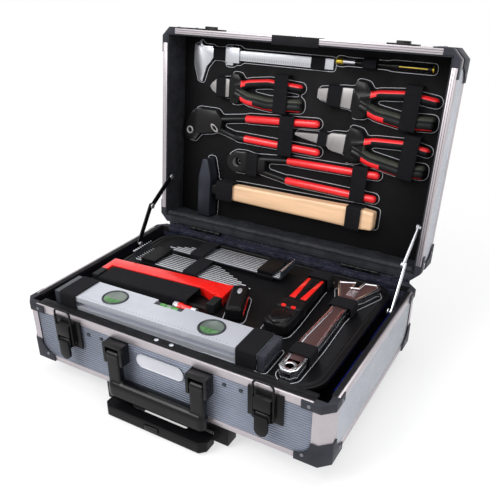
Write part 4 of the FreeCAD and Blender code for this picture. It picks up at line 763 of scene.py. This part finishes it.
def cap_rivets(prefix):
    """Domed rivets on the outer faces of a shell's corner caps, from the rim or from the outer panel."""
    place, height = SHELLS[prefix]
    radius = sizes().rivet_radius
    pieces = []
    for x_side, y_side, (reach, rise) in product((-1, 1), (-1, 1), CAP_RIVETS):
        z = height + rise if rise < 0 else rise
        spots = ((x_side * (CASE_WIDTH / 2 - reach), y_side * (CASE_DEPTH / 2 + CAP_PROUD), pi / 2),
                 (x_side * (CASE_WIDTH / 2 + CAP_PROUD), y_side * (CASE_DEPTH / 2 - reach), 0))
        for x, y, turn in spots:
            stand = place @ shift((x, y, z)) @ spin(turn, "Z") @ spin(pi / 2, "Y")
            pieces.append(primitive("cylinder", "rivet", stand, vertices=20, radius=radius,
                                    depth=0.7 * radius))
    settle(finished(joined(f"{prefix}_cap_rivets", pieces), "dull_steel", radius * 0.2), prefix, "steel")


class CaseShells(bpy.types.Operator):
    """Ribbed panels, aluminium profiles, corner caps and their rivets."""
    bl_idname = "tool_case.shells"
    bl_label = "Shells"

    def execute(self, context):
        for prefix in SHELLS:
            panels(prefix)
            profiles(prefix)
            dress(f"{prefix}_corner_caps", "cap_plastic", 0.0007, 3)
            cap_rivets(prefix)
        return {"FINISHED"}


# Linings

def wrinkled_back():
    """Loose vinyl on the lid's wall beside the hinges, pushed out in soft folds."""
    wall = WALL + LINING
    width, height = CASE_WIDTH - 2 * wall, LID_HEIGHT - BOARD_RISE - LINING
    fold, fold_size = 0.005, 0.026
    stand = spin(pi / 2, "X") @ scaled(width, height, 1)
    obj = primitive("grid", "lid_back_vinyl", stand, x_subdivisions=150, y_subdivisions=18, size=1)
    apply_modifier(obj, "SOLIDIFY", thickness=LINING / 3, offset=0)
    texture = bpy.data.textures.new("vinyl folds", "CLOUDS")
    texture.noise_scale = fold_size
    apply_modifier(obj, "DISPLACE", texture=texture, texture_coords="LOCAL", direction="Y", strength=fold,
                   mid_level=0.5)
    middle = (0, -CASE_DEPTH / 2 + wall + 0.6 * fold, BOARD_RISE + (height + LINING) / 2)
    obj.data.transform(LID_PLACE @ shift(middle))
    smoothed(obj, 60)
    settle(paint(obj, "grey_hide"), "lid", "lining")


def rolled_edge():
    """A padded roll along the inside of the lid's hinge edge."""
    radius = 0.0055
    outline = oval(-CASE_DEPTH / 2 + WALL + 2 * LINING, radius, LID_HEIGHT - radius - LINING, radius)
    length = CASE_WIDTH - 2 * (WALL + 2 * LINING)
    settle(lengthwise("lid_rolled_edge", outline, length, LID_PLACE, 0, "grey_hide"), "lid", "lining")


def hinge_cover():
    """Navy vinyl behind the hinges, from the base's back up to the open lid."""
    thick, drop, rise, reach = 0.0006, 0.003, 0.004, 0.0071
    back, rim = CASE_DEPTH / 2, BASE_HEIGHT
    outline = [(back, rim - drop - thick), (back + reach, rim - drop - thick), (back + reach, rim + rise),
               (back + reach - thick, rim + rise), (back + reach - thick, rim - drop), (back, rim - drop)]
    length = CASE_WIDTH - 1.2 * POST_LEG
    settle(lengthwise("hinge_cover", outline, length, BASE_PLACE, thick / 4, "navy_vinyl"), "base", "lining")


def closing_tab():
    """The closing tab's fold over the lid's front edge, with its stud."""
    thick = sizes().tab_thickness
    width, drop, stud = 0.074, 0.018, 0.0042
    inner, outer = CASE_DEPTH / 2 - WALL - 2 * LINING, CASE_DEPTH / 2
    outline = [(inner, LID_HEIGHT), (inner, LID_HEIGHT + thick), (outer + thick, LID_HEIGHT + thick),
               (outer + thick, LID_HEIGHT - drop), (outer, LID_HEIGHT - drop), (outer, LID_HEIGHT)]
    tab = lengthwise("closing_tab_fold", outline, width, LID_PLACE, thick / 4, "leatherette")
    spot = LID_PLACE @ shift((0, outer + thick, LID_HEIGHT - drop / 2)) @ spin(pi / 2, "X")
    button = primitive("cylinder", "closing_tab_stud", spot, vertices=24, radius=stud, depth=stud / 2)
    settle(joined("closing_tab_fold", [tab, finished(button, "steel", stud / 6)]), "lid", "lining")


class CaseLinings(bpy.types.Operator):
    """Leatherette in the base, the lid's tool board, its loose vinyl back and its closing tab."""
    bl_idname = "tool_case.linings"
    bl_label = "Linings"

    def execute(self, context):
        inverse = BOARD_PLACE.inverted()
        back = BASE_MIDDLE_Y + CASE_DEPTH / 2 - WALL - 2 * LINING
        dress("base_lining", ["leatherette", "navy_vinyl"], choose=lambda face:
              "navy_vinyl" if face.center.y > back and face.normal.y < 0.5 else "leatherette")
        dress("lid_board", ["grey_hide", "tool_board"], choose=lambda face:
              "tool_board" if abs((inverse @ face.center).z) < LINING else "grey_hide")
        wrinkled_back()
        rolled_edge()
        hinge_cover()
        closing_tab()
        return {"FINISHED"}


# Hardware and trolley

def stay_rivets():
    """Pale rivet heads on the pivots of the two stays, and where they meet the lid."""
    radius, depth = 0.0043, 0.0012
    for hand, link in product(HANDS, LINKS):
        body = f"stay_{link}_{hand}"
        low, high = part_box(body)
        x = high[0] if hand == "left" else low[0]
        spots = [JOINTS[body]["pos_m"]]
        if link == "upper":
            spots.append((x, high[1] - radius, high[2] - radius))
        heads = [primitive("cylinder", "head", shift((x, y, z)) @ spin(pi / 2, "Y"), vertices=24,
                           radius=radius, depth=depth) for _, y, z in spots]
        settle(finished(joined(f"{body}_rivets", heads), "steel", depth / 4), body, "steel")


# Node, finish, edge rounding and bevel segments of the pieces that need no more.
PLAIN_HARDWARE = (
    *((f"stay_{link}_right", "steel", 0.0003) for link in LINKS),
    *((f"stay_{link}_left", "black_enamel", 0.0003) for link in LINKS),
    *((f"hinge_{part}_leaves", "black_enamel", 0.0003) for part in SHELLS),
    *((f"latch_{part}_{hand}", "black_enamel", *edge) for hand in HANDS
      for part, *edge in (("lever", 0.0007, 3), ("bail", 0))),
    ("latch_plates", "black_enamel", 0.0006, 3),
    ("lid_catches", "black_enamel", 0.0006, 3),
    ("handle_brackets", "black_gloss", 0.0018, 4),
)
PLAIN_TROLLEY = (
    ("trolley_brackets", "black_plastic", 0.001, 3),
    ("trolley_button", "black_gloss", 0.001, 3),
    ("wheel_forks", "black_plastic", 0.0006),
    ("rubber_feet", "rubber", 0.0012, 3),
    *((f"wheel_{hand}", "rubber", 0.0008) for hand in HANDS),
)
# Voxel size and number of passes that wear a moulded piece's edges soft.
SOFT_HANDLE, SOFT_GRIP, SOFT_WOOD = (0.0011, 10), (0.0012, 5), (0.0016, 24)
# Widths and depths of the steps between the name plate's edge and its field.
PLATE_STEPS = ((0.0014, 0), (0.0006, -0.0005))


class CaseHardware(bpy.types.Operator):
    """Hinges, stays, latches, rivets, carry handle and bare name plate."""
    bl_idname = "tool_case.hardware"
    bl_label = "Hardware"

    def execute(self, context):
        front, side = CASE_LOW.y + WALL, CASE_WIDTH / 2 - POST_LEG
        dress("pivot_pins", ["steel", "black_enamel"], 0.0003, choose=lambda face:
              "black_enamel" if face.center.y < front or abs(face.center.x) < side else "steel")
        dress("rivets_and_studs", ["steel", "vial_ring"], 0.0004, choose=lambda face:
              "steel" if face.center.z > CASE_HIGH.z - FOOT_BAND else "vial_ring")
        dress_all(PLAIN_HARDWARE)
        dress("carry_handle", "black_gloss", soft=SOFT_HANDLE)
        stay_rivets()
        dress("name_plate", ["plate_metal", "vial_ring"], 0.0003, choose=lambda face:
              "plate_metal" if face.normal.y < -0.3 else "vial_ring", shape=lambda obj:
              inset_faces(obj, lambda centre, normal: normal.y < -FACING, PLATE_STEPS))
        return {"FINISHED"}


def painted_shade_skirt():
    """Painted shade: a dark plate that closes the space under the case's front edge, between the rails,
    where the floor would otherwise show bright.
    """
    low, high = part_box("trolley_rails")
    reach = 0.7 * high[0]
    shade_plate = prism_piece("painted_shade_skirt", rectangle(-reach, reach, low[1], low[1] + WALL / 2), low[2],
                        CASE_LOW.z - low[2], Matrix(), 0.0004, "black_plastic")
    settle(shade_plate, "base", "black_plastic")


class CaseTrolley(bpy.types.Operator):
    """Rails, pull-out tubes, grip, button, wheels and feet."""
    bl_idname = "tool_case.trolley"
    bl_label = "Trolley"

    def execute(self, context):
        for node in ("trolley_rails", "trolley_middle_tubes", "trolley_inner_tubes"):
            dress(node, "profile_metal", 0.0005)
        dress("trolley_grip", "black_plastic", soft=SOFT_GRIP)
        painted_shade_skirt()
        dress_all(PLAIN_TROLLEY)
        return {"FINISHED"}


# Inside the base

class CasePallet(bpy.types.Operator):
    """The lift-out pallet with its double bead, the tray under it, sockets and screwdrivers."""
    bl_idname = "tool_case.pallet"
    bl_label = "Pallet and tray"

    def execute(self, context):
        bead = 0.0014
        steps = ((0.0045, 0), (0.0012, -bead), (0.0016, 0), (0.0012, bead), (0.0026, 0),
                 (0.0012, -bead / 2))
        dress("tool_pallet", "black_plastic", bead / 3, shape=lambda obj: inset_faces(
            obj, lambda centre, normal: normal.z > FACING and centre.z > PALLET_TOP - bead, steps))
        dress_all([("lower_tray", "black_plastic", 0.0006), ("sockets", "chrome", 0.0005)])
        handle, blade = 0.009, 0.0035
        reach, _, height = (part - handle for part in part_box("screwdrivers")[1])

        def choose(face):
            off = max(abs(abs(face.center.x) - reach), abs(face.center.z - height))
            return "handle_blue" if off > blade or abs(face.normal.y) > 0.5 else "chrome"

        dress("screwdrivers", ["handle_blue", "chrome"], 0.0012, 3, choose)
        return {"FINISHED"}


# Tools in the lid

GRIP_ROUTE_SHARES = [(0.0, 0.14), (0.14, 0.3), (0.36, 0.38), (0.96, 0.32)]
GRIP_RADIUS = 0.0065


def on_route(route, along):
    """Where a handle's outer run lies across the tool, at a share along it."""
    for (x, y), (far_x, far_y) in zip(route, route[1:]):
        if along <= far_x:
            return y + max(0.0, (along - x) / (far_x - x)) * (far_y - y)
    return route[-1][1]


def pliers_finish(node, guard_start, guard_end, pivot):
    """Bright jaws, dark thumb guards and two-colour grips with a red stripe along the lower handle."""
    tool = TOOLS[node]
    route = [(pivot + x, y) for x, y in GRIP_ROUTE_SHARES[:3]] + GRIP_ROUTE_SHARES[3:]
    patch_end = guard_end + 0.14

    def choose(face):
        point, _ = tool.local(face)
        along = point.x / tool.length
        if along < guard_start:
            return "jaw_steel"
        if along < guard_end:
            return "guard_gloss"
        off = (abs(point.y) - on_route(route, along) * tool.width) / GRIP_RADIUS
        if point.y > 0:
            lowest = -1.3 if along < guard_end + 0.05 else -0.75
            return "grip_red" if off > lowest else "grip_black"
        if off > 0.72 or (along < patch_end and off > -0.2):
            return "grip_red"
        return "grip_moss" if off < -1.1 else "grip_black"

    names = ["jaw_steel", "guard_gloss", "grip_black", "grip_moss", "grip_red"]
    shares = (guard_start, guard_end, guard_end + 0.05, patch_end)
    dress(node, names, 0.0007, 2, choose, tool.planes(shares))


def dipped_finish(node, handle_start, jaw_end=0.12):
    """A dark head with bright jaws on dipped red handles."""
    tool = TOOLS[node]

    def choose(face):
        point, normal = tool.local(face)
        along = point.x / tool.length
        if along > handle_start:
            return "dipped_red"
        return "jaw_steel" if abs(normal.z) < 0.5 and along < jaw_end else "dark_lacquer"

    names = ["dipped_red", "jaw_steel", "dark_lacquer"]
    dress(node, names, 0.0007, 2, choose, tool.planes((jaw_end, handle_start)))


# Shares along and across the pliers, turn in degrees and half widths of each ring.
PUMP_RINGS = ((0.05, -0.22, 0, 0.0052, 0.0052), (0.245, -0.07, -40, 0.0072, 0.0034))


def pump_trim():
    """Bright jaw and slot of the water-pump pliers."""
    tool = TOOLS["water_pump_pliers"]
    points = [tool.inverse @ vertex.co for vertex in frame["nodes"]["water_pump_pliers"].data.vertices]
    top = max(point.z for point in points if point.x < 0.3 * tool.length)
    rings = []
    for along, across, turn, wide, narrow in PUMP_RINGS:
        centre = tool.matrix @ shift((along * tool.length, across * tool.width, top))
        stand = centre @ spin(radians(turn), "Z") @ scaled(wide, narrow, narrow)
        rings.append(primitive("torus", "ring", stand, major_segments=40, minor_segments=10,
                               major_radius=1, minor_radius=0.28))
    settle(finished(joined("pump_pliers_trim", rings), "jaw_steel"), "lid", "steel")


def banded(node, shares, names, width=None, soft=None):
    """A copy whose finish changes along the tool at the given shares of its length."""
    tool = TOOLS[node]

    def choose(face):
        along = tool.local(face)[0].x
        return names[sum(along > share * tool.length for share in shares)]

    dress(node, list(dict.fromkeys(names)), width, 2, choose, tool.planes(shares), soft=soft)


MARK_WIDTH, MARK_HEIGHT, MARK_SINK = 0.00026, 0.00025, 0.0001


def scale_marks(name, tool, first, low, high, step, count, body):
    """Fine scale marks along a tool, from a share of its length on and between two shares of its width."""
    outline = rectangle(first, first + MARK_WIDTH / tool.length, low, high)
    mark = tool_prism(name, tool, outline, tool.height - MARK_SINK, MARK_HEIGHT, 0, "vial_ring")
    apply_modifier(mark, "ARRAY", count=count, use_relative_offset=False, use_constant_offset=True,
                   constant_offset_displace=tool.matrix.to_3x3() @ Vector((step, 0, 0)))
    settle(mark, body, "steel")


def contours(name, place, body, groups):
    """Thin printed lines on a board round its tools."""
    s = sizes()
    voxel = s.contour_width * 2
    lines = []
    for nodes in groups:
        obj = joined("contour", [cad_copy(node, "contour") for node in nodes])
        obj.data.transform(place.inverted())
        middle = max(vertex.co.z for vertex in obj.data.vertices) / 2
        apply_modifier(obj, "REMESH", mode="VOXEL", voxel_size=voxel)
        apply_modifier(obj, "DISPLACE", strength=s.contour_gap, mid_level=0)
        apply_modifier(obj, "REMESH", mode="VOXEL", voxel_size=voxel)
        with editing(obj):
            bpy.ops.mesh.bisect(plane_co=(0, 0, middle), plane_no=(0, 0, 1), clear_inner=True,
                                clear_outer=True)
            bpy.ops.mesh.select_all(action="SELECT")
            bpy.ops.mesh.vertices_smooth(factor=0.5, repeat=6)
        bpy.ops.object.convert(target="CURVE")
        obj.data.bevel_depth = s.contour_width / 2
        obj.data.bevel_resolution = 0
        bpy.ops.object.convert(target="MESH")
        obj.data.transform(place @ scaled(1, 1, 0.3) @ shift((0, 0, -middle)))
        lines.append(obj)
    settle(finished(joined(name, lines), "contour_print"), body, "lining")


class CaseLidTools(bpy.types.Operator):
    """Caliper, pick-up pen, pliers, pincers and hammer on the lid's board."""
    bl_idname = "tool_case.lid_tools"
    bl_label = "Lid tools"

    def execute(self, context):
        contours("lid_contours", BOARD_PLACE, "lid",
                 [["caliper"], ["pickup_pen"], ["diagonal_cutters"], ["combination_pliers"],
                  ["long_nose_pliers"], ["water_pump_pliers"], ["tower_pincers"],
                  ["hammer_head", "hammer_handle"]])
        dress("caliper", "steel", 0.0004)
        scale_marks("caliper_scale", TOOLS["caliper"], 0.27, 0.1, 0.4, 0.003, 48, "lid")
        banded("pickup_pen", (0.075, 0.2, 0.985), ("brass", "steel", "black_gloss", "brass"), 0.0006)
        pen = TOOLS["pickup_pen"]
        clip = tool_prism("pen_clip", pen, [(0.66, -0.06), (0.94, -0.09), (0.94, 0.09), (0.66, 0.06)],
                          pen.height - 0.0004, 0.0014, 0.0003, "brass")
        settle(clip, "lid", "pen")
        pliers_finish("diagonal_cutters", 0.22, 0.35, 0.28)
        pliers_finish("combination_pliers", 0.3, 0.45, 0.37)
        pliers_finish("long_nose_pliers", 0.39, 0.53, 0.45)
        dipped_finish("water_pump_pliers", 0.476)
        dipped_finish("tower_pincers", 0.42)
        pump_trim()
        dress("hammer_head", "forged_steel", 0.0016, 3)
        banded("hammer_handle", (0.213,), ("black_plastic", "wood"), soft=SOFT_WOOD)
        return {"FINISHED"}


# Tools on the pallet

def long_vial(tool):
    """The tube of liquid in the level's rear edge, with two marks, a bubble and dark ends."""
    radius, length, collar, inset = 0.0055, 0.0425, 0.007, 0.006
    middle = tool.matrix @ shift((0, tool.width / 2 - inset, tool.height - inset))
    lie = middle @ spin(pi / 2, "Y")
    liquid = primitive("cylinder", "vial", lie, vertices=32, radius=radius, depth=length)
    rounded(liquid, radius / 3, 3)
    pieces = [paint(liquid, "vial_liquid")]
    for side in (-1, 1):
        mark = primitive("torus", "mark", lie @ shift((0, 0, side * length / 8)), major_segments=32,
                         minor_segments=8, major_radius=radius, minor_radius=radius / 14)
        end = primitive("cylinder", "end", lie @ shift((0, 0, side * (length - collar) / 2)), vertices=32,
                        radius=1.05 * radius, depth=1.05 * collar)
        pieces += [paint(mark, "vial_ring"), paint(end, "vial_ring")]
    bubble = middle @ shift((0, 0, 0.8 * radius)) @ scaled(length / 9, radius / 2, radius / 3.5)
    return pieces + [paint(primitive("uv_sphere", "bubble", bubble, segments=20, ring_count=12, radius=1),
                           "vial_window")]


def round_window(tool, x):
    """A round window in a dark ring, with a band of liquid between two marks."""
    radius, ring, thick, count = 0.0168, 0.0016, 0.0004, 24
    centre = tool.matrix @ shift((x, 0, tool.height))
    glass = primitive("cylinder", "glass", centre, vertices=48, radius=radius, depth=2 * thick)
    rim = primitive("torus", "rim", centre, major_segments=48, minor_segments=10, major_radius=radius,
                    minor_radius=ring)
    reach = radius - 1.6 * ring
    turns = [radians(-165 + 150 * index / count) for index in range(count + 1)]
    liquid = prism_piece("liquid", [(reach * cos(turn), reach * sin(turn)) for turn in turns], 0, 2 * thick,
                         centre, thick / 2, "vial_liquid")
    marks = [primitive("cube", "mark", centre @ shift((side * radius / 5, -radius / 2, 2 * thick))
                       @ scaled(thick, reach / 2, thick), size=1) for side in (-1, 1)]
    return [paint(glass, "vial_window"), paint(rim, "vial_ring"), liquid,
            *(paint(mark, "vial_ring") for mark in marks)]


def level_vials():
    """Two round windows, and the long vial at the rear edge."""
    tool = TOOLS["spirit_level"]
    reach = 0.076
    pieces = long_vial(tool) + round_window(tool, -reach) + round_window(tool, reach)
    obj = joined("level_vials_finish", pieces)
    smoothed(obj)
    settle_for(obj, "level_vials")


RIDGE_SHARES = (0.80, 0.815, 0.83, 0.845, 0.86)


def wrench_finish():
    """A forged wrench with a sunk brown field along its handle, and its knurled screw."""
    tool = TOOLS["adjustable_wrench"]
    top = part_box("adjustable_wrench")[1][2]
    rim, sink, field = 0.0042, 0.0011, 0.1

    def shape(obj):
        # An even inset can throw points far out at the slivers round the hole in the handle.
        inset_faces(obj, lambda centre, normal: normal.z > FACING and centre.z > top - sink,
                    ((rim, 0), (rim / 7, -sink)), even=False)
        rounded(obj, rim / 8)

    def choose(face):
        sunk = face.normal.z > 0.7 and face.center.z < top - sink / 2
        return "wrench_brown" if sunk and tool.local(face)[0].x > field * tool.length else "chrome"

    dress("adjustable_wrench", ["chrome", "wrench_brown"], 0, 2, choose, tool.planes((field,)), shape=shape)
    ridges = [tool_prism("ridge", tool, [(start, -0.1), (start + 0.007, -0.1), (start + 0.01, 0.1),
                                         (start + 0.003, 0.1)],
                         tool.height - 1.5 * sink, 1.4 * sink, sink / 4, "chrome") for start in RIDGE_SHARES]
    settle(joined("wrench_screw", ridges), "pallet", "chrome")


def knife_details():
    """Red stripes beside a ribbed slide, a hood, a knob with red spots and a brass end."""
    tool = TOOLS["utility_knife"]
    top, lift, slide, rib = tool.height, 0.0008, 0.42, 0.012
    pieces = []
    for side in (-1, 1):
        stripe = [(slide, side * 0.1), (0.78, side * 0.22), (0.78, side * 0.34), (slide, side * 0.34)]
        spot = oval(0.255, 0.016, side * 0.2, 0.1)
        pieces += [tool_prism("stripe", tool, stripe, top - lift, 2 * lift, lift / 2, "saw_red"),
                   tool_prism("spot", tool, spot, top + lift, 3 * lift, lift / 2, "saw_red")]
    for start in (slide + 2 * rib * index for index in range(15)):
        outline = rectangle(start, start + rib, -0.08, 0.08)
        pieces.append(tool_prism("rib", tool, outline, top - lift, 2.4 * lift, lift / 3, "rubber"))
    hood, end = rectangle(0.24, 0.37, -0.5, 0.5), rectangle(0.985, 1.03, -0.2, 0.2)
    knob = oval(0.105, 0.1, 0, 0.42)
    pieces += [tool_prism("hood", tool, hood, lift, top + 2 * lift, 4 * lift, "black_plastic", 4),
               tool_prism("knob", tool, knob, lift, top + 3 * lift, 5 * lift, "black_gloss", 4),
               tool_prism("end", tool, end, top / 3, top / 4, lift / 2, "brass")]
    settle(joined("knife_details", pieces), "pallet", "black_plastic")


def saw_finish():
    """The red saw frame with bare arms, and the bare oval and red line on its grip."""
    tool, grip = TOOLS["hacksaw_frame"], TOOLS["hacksaw_grip"]
    arm = -0.6 * tool.width
    plane = (tool.matrix @ Vector((0, arm, 0)), tool.matrix.to_3x3() @ Vector((0, 1, 0)))
    dress("hacksaw_frame", ["saw_red", "grip_black"], 0.0022, 4, lambda face:
          "grip_black" if tool.local(face)[0].y < arm else "saw_red", [plane])
    dress("hacksaw_grip", "black_plastic", 0.001, 2)
    lift = 0.0004
    patch = tool_prism("patch", grip, oval(0.3, 0.11, 0.05, 0.14), grip.height - lift, 2 * lift, lift / 2,
                       "plate_metal")
    line = tool_prism("line", grip, rectangle(0.16, 0.88, 0.485, 0.52), grip.height / 4,
                      grip.height / 5, lift, "saw_red")
    settle(joined("saw_grip_trim", [patch, line]), "pallet", "plate")


class CasePalletTools(bpy.types.Operator):
    """Spirit level, hacksaw, torch, hex keys, knife and wrench on the pallet."""
    bl_idname = "tool_case.pallet_tools"
    bl_label = "Pallet tools"

    def execute(self, context):
        contours("pallet_contours", PALLET_PLACE, "pallet",
                 [["spirit_level"], ["utility_knife"], ["adjustable_wrench"], ["hacksaw_grip"]])
        level = TOOLS["spirit_level"]
        dress("spirit_level", ["level_metal", "level_cap"], 0.0009, 3, lambda face:
              "level_cap" if abs(level.local(face)[0].x) > level.length / 2 else "level_metal", flat=True)
        scale_marks("level_scale", level, -0.38, -0.44, -0.38, 0.005, 46, "pallet")
        level_vials()
        saw_finish()
        banded("small_torch", (0.2, 0.8), ("steel", "saw_red", "steel"), 0.0006)
        # Painted light on the hex keys: upward faces take bright steel as a painted highlight, the other
        # faces take the dark ring finish as painted shade.
        dress("hex_keys", ["steel", "vial_ring"], 0, 1, lambda face:
              "steel" if face.normal.z > 0.8 else "vial_ring")
        dress_all([("hex_key_holders", "black_plastic", 0.0024, 4),
                   ("utility_knife", "black_plastic", 0.005, 4)])
        knife_details()
        wrench_finish()
        return {"FINISHED"}


# Straps

def bend_shoulders(obj):
    """Round the bends of flat loops, wide on the outside and tight on the inside."""
    s = sizes()
    narrow = 1.5 * s.strap_thickness
    for sign, width in ((1, s.strap_shoulder), (-1, s.strap_shoulder - s.strap_thickness)):
        with editing(obj, "DESELECT"):
            bpy.ops.mesh.select_mode(type="EDGE")
            for edge in bmesh.from_edit_mesh(obj.data).edges:
                wide = len(edge.link_faces) == 2 and all(
                    len(face.verts) == 4 and min(side.calc_length() for side in face.edges) > narrow
                    for face in edge.link_faces)
                edge.select_set(wide and sign * edge.calc_face_angle_signed() > 1)
            bmesh.update_edit_mesh(obj.data)
            bpy.ops.mesh.bevel(offset=width, segments=4, affect="EDGES")


class CaseStraps(bpy.types.Operator):
    """Elastic loops over the tools, with rounded shoulders."""
    bl_idname = "tool_case.straps"
    bl_label = "Straps"

    def execute(self, context):
        for node in ("lid_straps", "pallet_straps"):
            dress(node, "webbing", 0.0003, 1, shape=bend_shoulders)
        return {"FINISHED"}


# Stage

CAMERA_PLACE = Vector((0.4005, -0.6347, 0.549))
CAMERA_YAW, CAMERA_PITCH, CAMERA_ROLL = radians(-29.68), radians(29.15), radians(0.28)
CAMERA_LENS, CAMERA_SHIFT = 44.74, (-0.0084, 0.0856)


def add_camera():
    data = bpy.data.cameras.new("photo view")
    data.lens = CAMERA_LENS
    data.sensor_width = 36
    data.shift_x, data.shift_y = CAMERA_SHIFT
    data.clip_start, data.clip_end = 0.01, 100
    camera = bpy.data.objects.new("photo view", data)
    bpy.context.scene.collection.objects.link(camera)
    level = cos(CAMERA_PITCH)
    ahead = Vector((sin(CAMERA_YAW) * level, cos(CAMERA_YAW) * level, -sin(CAMERA_PITCH)))
    right = ahead.cross(Vector((0, 0, 1))).normalized()
    up = right.cross(ahead)
    across = right * cos(CAMERA_ROLL) + up * sin(CAMERA_ROLL)
    upward = up * cos(CAMERA_ROLL) - right * sin(CAMERA_ROLL)
    camera.matrix_world = axes(across, upward, -ahead, CAMERA_PLACE + Vector((0, BASE_MIDDLE_Y, 0)))
    bpy.context.scene.camera = camera


# Name, place, size in metres and power in watts of each lamp, and the point that all look at.
LAMPS = (
    ("key", (-0.9, -1.5, 1.7), 1.4, 46),
    ("fill", (1.7, -0.9, 1.1), 1.6, 20),
    ("top", (0.1, 0.3, 2.1), 1.8, 22),
)
LAMP_TARGET = Vector((0, 0, 0.15))


def add_lamp(name, place, size, power):
    data = bpy.data.lights.new(name, "AREA")
    data.size = size
    data.energy = power
    lamp = bpy.data.objects.new(name, data)
    bpy.context.scene.collection.objects.link(lamp)
    lamp.location = place
    lamp.rotation_euler = (LAMP_TARGET - Vector(place)).to_track_quat("-Z", "Y").to_euler()


def seen_directly(tree):
    """A value of 1 for what the camera, a mirror or glass sees."""
    path = add_node(tree, "LightPath")
    seen = path["Is Camera Ray"]
    for ray in ("Is Glossy Ray", "Is Transmission Ray"):
        seen = add_node(tree, "Math", {0: seen, 1: path[ray]}, operation="MAXIMUM")["Value"]
    return seen


SKY_LIGHT = 0.38


def set_world():
    """A white world, which lights the case less than it shows."""
    world = bpy.data.worlds.new("studio")
    bpy.context.scene.world = world
    world.use_nodes = True
    tree = world.node_tree
    strength = add_node(tree, "MapRange", {"Value": seen_directly(tree), "To Min": SKY_LIGHT,
                                           "To Max": 1.0})["Result"]
    for socket, value in (("Color", (1, 1, 1, 1)), ("Strength", strength)):
        feed(tree, tree.nodes["Background"].inputs[socket], value)


def add_floor():
    """A pale floor that keeps the case's shadow near it and is plain white further out."""
    floor = primitive("circle", "floor", Matrix(), vertices=96, radius=14, fill_type="NGON")
    material = bpy.data.materials.new("floor")
    material.use_nodes = True
    tree = material.node_tree
    surface = tree.nodes["Principled BSDF"]
    for socket, value in (("Base Color", (0.92, 0.92, 0.93, 1)), ("Roughness", 0.6),
                          ("Specular IOR Level", 0.2)):
        feed(tree, surface.inputs[socket], value)
    place = add_node(tree, "TexCoord")["Object"]
    reach = add_node(tree, "VectorMath", {0: place}, operation="LENGTH")["Value"]
    fade = add_node(tree, "MapRange", {"Value": reach, "From Min": 0.35, "From Max": 0.9, "To Min": 0.6,
                                       "To Max": 1.0})["Result"]
    share = add_node(tree, "Math", {0: fade, 1: seen_directly(tree)}, operation="MULTIPLY")["Value"]
    white = add_node(tree, "Emission")["Emission"]
    mix = add_node(tree, "MixShader", {0: share, 1: surface.outputs["BSDF"], 2: white})["Shader"]
    feed(tree, tree.nodes["Material Output"].inputs["Surface"], mix)
    floor.data.materials.append(material)


class CaseStage(bpy.types.Operator):
    """Floor, soft studio light and the photograph's camera."""
    bl_idname = "tool_case.stage"
    bl_label = "Stage"

    def execute(self, context):
        add_floor()
        set_world()
        for lamp in LAMPS:
            add_lamp(*lamp)
        add_camera()
        context.scene.view_settings.view_transform = "Standard"
        return {"FINISHED"}


class CaseFinishes(bpy.types.Operator):
    """The finishes that the pieces take."""
    bl_idname = "tool_case.finishes"
    bl_label = "Finishes"

    def execute(self, context):
        make_finishes()
        return {"FINISHED"}


STEPS = (CaseFinishes, CaseShells, CaseLinings, CaseHardware, CaseTrolley, CasePallet, CaseLidTools,
         CasePalletTools, CaseStraps, CaseStage)


class CasePanel(bpy.types.Panel):
    """Sizes, colours and steps of the tool case."""
    bl_idname = "VIEW3D_PT_tool_case"
    bl_label = "Trolley tool case"
    bl_space_type = "VIEW_3D"
    bl_region_type = "UI"
    bl_category = "Tool case"

    def draw(self, context):
        for group in (context.scene.tool_case_sizes, context.scene.tool_case_colours):
            column = self.layout.column()
            for name in group.__annotations__:
                column.prop(group, name)
        for step in STEPS:
            self.layout.operator(step.bl_idname)


CLASSES = (CaseSizes, CaseColours, *STEPS, CasePanel)


def register():
    for item in CLASSES:
        bpy.utils.register_class(item)
    bpy.types.Scene.tool_case_sizes = PointerProperty(type=CaseSizes)
    bpy.types.Scene.tool_case_colours = PointerProperty(type=CaseColours)


def unregister():
    del bpy.types.Scene.tool_case_colours
    del bpy.types.Scene.tool_case_sizes
    for item in reversed(CLASSES):
        bpy.utils.unregister_class(item)


def main():
    register()
    for step in STEPS:
        family, operator = step.bl_idname.split(".")
        getattr(getattr(bpy.ops, family), operator)()


if __name__ == "__main__":
    main()
